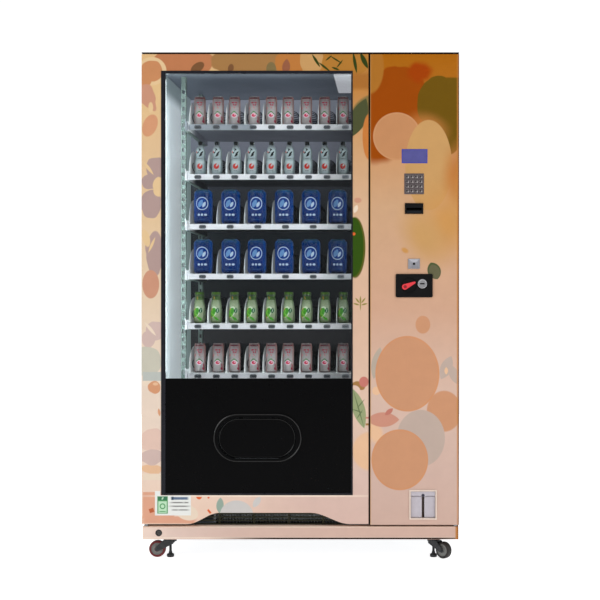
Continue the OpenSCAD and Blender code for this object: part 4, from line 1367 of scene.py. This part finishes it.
def makeCylinderRing():
    low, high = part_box("lock_cylinder")
    centre = ((low.x + high.x) / 2, low.y, (low.z + high.z) / 2)
    radius = (high.x - low.x) / 2
    wide = controls["ringWide"]
    bm = bmesh.new()
    outline = [(radius - wide, 0.0002), (radius - wide, -0.0009), (radius - wide * 0.7, -0.0017),
               (radius - wide * 0.3, -0.0017), (radius, -0.0009), (radius, 0.0002)]
    spinProfile(bm, outline, (0, 1, 0), centre, steps=48)
    newPiece("keyRing", bm, paint["bright"], "lock_cylinder")
    bm = bmesh.new()
    addBox(bm, (centre[0] - 0.0085, centre[0] + 0.0085), (low.y - 0.0006, low.y + 0.0004),
           (centre[2] - 0.0026, centre[2] + 0.0026), 0.0008)
    newPiece("keySlot", bm, paint["blackPlastic"], "lock_cylinder")


def makeLeverHub():
    # a dark dished disc on the lever's round end
    pivot = Vector(rig["lock_lever"]["pos_m"])
    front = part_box("lock_lever")[0].y
    turn = math.radians(24)
    centre = (pivot.x - 0.016 * math.cos(turn), front, pivot.z - 0.016 * math.sin(turn))
    bm = bmesh.new()
    outline = [(0, -0.0004), (0.003, -0.0004), (0.0048, -0.0009), (0.0062, -0.0006), (0.0066, 0.0003),
               (0, 0.0003)]
    spinProfile(bm, outline, (0, 1, 0), centre, steps=32)
    newPiece("leverHub", bm, paint["darkRed"], "lock_lever")


def makeCoinCup():
    # hood over the flaps, a round latch and a pale moulded edge
    low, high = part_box("coin_cup")
    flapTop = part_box("coin_flaps")[1].z
    middle = (low.x + high.x) / 2
    bm = bmesh.new()
    addBox(bm, (low.x + 0.0065, high.x - 0.0065), (low.y + 0.003, low.y + 0.006),
           (flapTop + 0.0016, high.z - 0.0062), 0.0008)
    newPiece("cupHood", bm, paint["cupFlap"], "control_door")
    bm = bmesh.new()
    outline = [(0, -0.003), (0.0042, -0.003), (0.0058, -0.0016), (0.006, 0.002), (0, 0.002)]
    spinProfile(bm, outline, (0, 1, 0), (middle, low.y + 0.003, flapTop + 0.004), steps=28)
    newPiece("cupLatch", bm, paint["latch"], "control_door")
    bm = bmesh.new()
    frameBox = addBox(bm, (low.x, high.x), (low.y - 0.0014, low.y + 0.0004), (low.z, high.z))
    face = frontFace(frameBox)
    bmesh.ops.inset_individual(bm, faces=[face], thickness=0.0062, depth=0)
    rear = max({f for v in frameBox for f in v.link_faces}, key=lambda f: f.calc_center_median().y)
    bmesh.ops.inset_individual(bm, faces=[rear], thickness=0.0062, depth=0)
    bmesh.ops.bridge_loops(bm, edges=list(face.edges) + list(rear.edges))
    bmesh.ops.delete(bm, geom=[face, rear], context="FACES")
    outer = [edge for edge in bm.edges if edge.calc_face_angle(0) > math.radians(50)]
    bevelEdges(bm, outer, 0.0006, 2)
    newPiece("cupEdge", bm, paint["cupEdge"], "control_door")


makeScreen()
makeKeyMarks()
makeBillMouth()
makeCylinderRing()
makeLeverHub()
makeCoinCup()
print("control fittings made")


sticker = {
    "outline": [
        (-0.554, 0.175), (-0.417, 0.175), (-0.417, 0.251), (-0.533, 0.251), (-0.533, 0.268), (-0.554, 0.268),
    ],
    "thick": 0.0004,
    "sunk": 0.0001,
    "paints": {
        "badge": (64, 150, 84), "badgePale": (188, 224, 190), "badgeDark": (40, 112, 74),
        "bar": (92, 112, 140), "barDark": (34, 62, 84), "line": (124, 124, 122),
    },
    "patches": [
        ("box", -525, 215, 20, 33, 0, "badge", 1.2),
        ("box", -525, 207, 16, 22, 0, "badgePale", 1),
        ("box", -525, 240, 17, 7, 0, "badgeDark", 1),
        ("oval", -525, 210, 11, 11, 0, "badge", 1),
        ("oval", -525, 210, 7, 7, 0, "badgePale", 1),
        ("leaf", -525, 240, 3, 6, -30, "badgePale", 0.8),
        ("box", -525, 190, 12, 1.6, 0, "badge", 0.8),
        ("box", -460, 240, 32, 5, 0, "bar", 0.8),
        ("box", -487, 240, 4, 6, 0, "barDark", 0.8),
        ("box", -468, 224, 24, 2.4, 0, "line", 1.4),
        ("box", -434, 224, 7, 2.2, 0, "line", 1.4),
        ("box", -460, 210, 32, 2.4, 0, "line", 1.4),
        ("box", -478, 196, 10, 2, 0, "line", 1.4),
        ("box", -446, 196, 18, 2.2, 0, "line", 1.4),
    ],
}


def makeSticker():
    material, tree, shader, place = startMaterial("infoSticker")
    flat = flatPlace(tree, place)[1]
    colour = paintPatches(tree, flat, srgb(232, 234, 230), sticker["patches"], sticker["paints"], 0)
    addSurface(tree, shader, place, colour, {"grain": 40, "shade": 0.02, "rough": 0.3, "relief": 0.01})
    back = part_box("control_door")[0].y + sticker["sunk"]
    bm = bmesh.new()
    sheet = bm.faces.new([bm.verts.new((x, back, z)) for x, z in sticker["outline"]])
    raised = bmesh.ops.extrude_face_region(bm, geom=[sheet])["geom"]
    moved = [part for part in raised if isinstance(part, bmesh.types.BMVert)]
    bmesh.ops.translate(bm, verts=moved, vec=(0, -sticker["thick"], 0))
    bmesh.ops.recalc_face_normals(bm, faces=bm.faces)
    newPiece("infoSticker", bm, material, "glass_door")


portLip = {
    "frame": {"centre": (-0.163, 0.471), "run": 0.0765, "radius": 0.089, "tube": 0.0032},
    "flap": {"centre": (-0.165, 0.469), "run": 0.0715, "radius": 0.073, "tube": 0.0022},
    "corner": 20,
    "around": 8,
}


def addLip(bm, lip, y):
    # a round bead along a slot shape
    centre, tube = lip["centre"], lip["tube"]
    steps = portLip["corner"]
    around = portLip["around"]
    spots = []
    for side in (1, -1):
        for index in range(steps + 1):
            angle = side * math.pi / 2 - math.pi * index / steps
            spots.append((side * lip["run"], math.cos(angle), math.sin(angle)))
    rings = []
    for shift, across, up in spots:
        ring = []
        for index in range(around):
            turn = 2 * math.pi * index / around
            reach = lip["radius"] + tube * math.cos(turn)
            x = centre[0] + shift + across * reach
            z = centre[1] + up * reach
            ring.append(bm.verts.new((x, y + tube * math.sin(turn), z)))
        rings.append(ring)
    for index, ring in enumerate(rings):
        ahead = rings[(index + 1) % len(rings)]
        for corner in range(around):
            after = (corner + 1) % around
            bm.faces.new((ring[corner], ring[after], ahead[after], ahead[corner]))
    bmesh.ops.recalc_face_normals(bm, faces=bm.faces)


def makePortLip():
    for name, lip, node, body in (("portLip", "frame", "delivery_panel", "glass_door"),
                                  ("flapBead", "flap", "delivery_flap", "delivery_flap")):
        bm = bmesh.new()
        addLip(bm, portLip[lip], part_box(node)[0].y)
        newPiece(name, bm, paint["portLip"], body)


def addScrew(bm, x, y, z, radius, facing=-1):
    # a domed screw head, facing along Y
    outline = [(0, -0.0011), (radius * 0.45, -0.001), (radius * 0.85, -0.0006), (radius, 0),
               (radius, 0.0002), (0, 0.0002)]
    spinProfile(bm, outline, (0, -facing, 0), (x, y, z), steps=16)


screws = {
    "heights": (0.12, 0.45, 0.78, 1.11, 1.44, 1.77, 1.9),
    "topPlaces": (-0.4, -0.2, 0, 0.2, 0.4),
    "topHeight": 1.91,
    "inset": 0.02,
    "radius": 0.005,
}


def makeScrews():
    low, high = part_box("rear_panel")
    bm = bmesh.new()
    for z in screws["heights"]:
        for x in (low.x + screws["inset"], high.x - screws["inset"]):
            addScrew(bm, x, high.y, z, screws["radius"], facing=1)
    for x in screws["topPlaces"]:
        addScrew(bm, x, high.y, screws["topHeight"], screws["radius"], facing=1)
    newPiece("rearScrews", bm, paint["bright"], "cabinet")


grommet = {"x": -0.541, "z": 0.107}


def makeGrommet():
    # rubber ring in the round hole of the kick rail
    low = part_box("kick_rail")[0]
    bm = bmesh.new()
    outline = [(0.0086, -0.0006), (0.0094, -0.0012), (0.0122, -0.0012), (0.0128, -0.0004), (0.0128, 0),
               (0.0104, 0.0002), (0.0104, 0.004), (0.0086, 0.004), (0.0086, -0.0006)]
    spinProfile(bm, outline, (0, 1, 0), (grommet["x"], low.y, grommet["z"]), steps=40)
    newPiece("railGrommet", bm, paint["gasket"], "cabinet")


def makeWheelHubs():
    # a grey ringed hub on both sides of each wheel
    for index in range(1, 5):
        joint = rig[f"wheel_{index}"]
        centre, axis = Vector(joint["pos_m"]), Vector(joint["axis"]).normalized()
        bm = bmesh.new()
        for side in (1, -1):
            outline = [(0.0046, 0.0062), (0.0046, 0.0126), (0.008, 0.0128), (0.0095, 0.0118),
                       (0.0128, 0.0118), (0.0142, 0.009), (0.0196, 0.0088), (0.021, 0.0106),
                       (0.0228, 0.0106), (0.0234, 0.0082)]
            spinProfile(bm, outline, axis * side, centre, steps=40)
        newPiece(f"wheelHub_{index}", bm, paint["hub"], f"wheel_{index}")


makeSticker()
makePortLip()
makeScrews()
makeGrommet()
makeWheelHubs()
print("trim made")
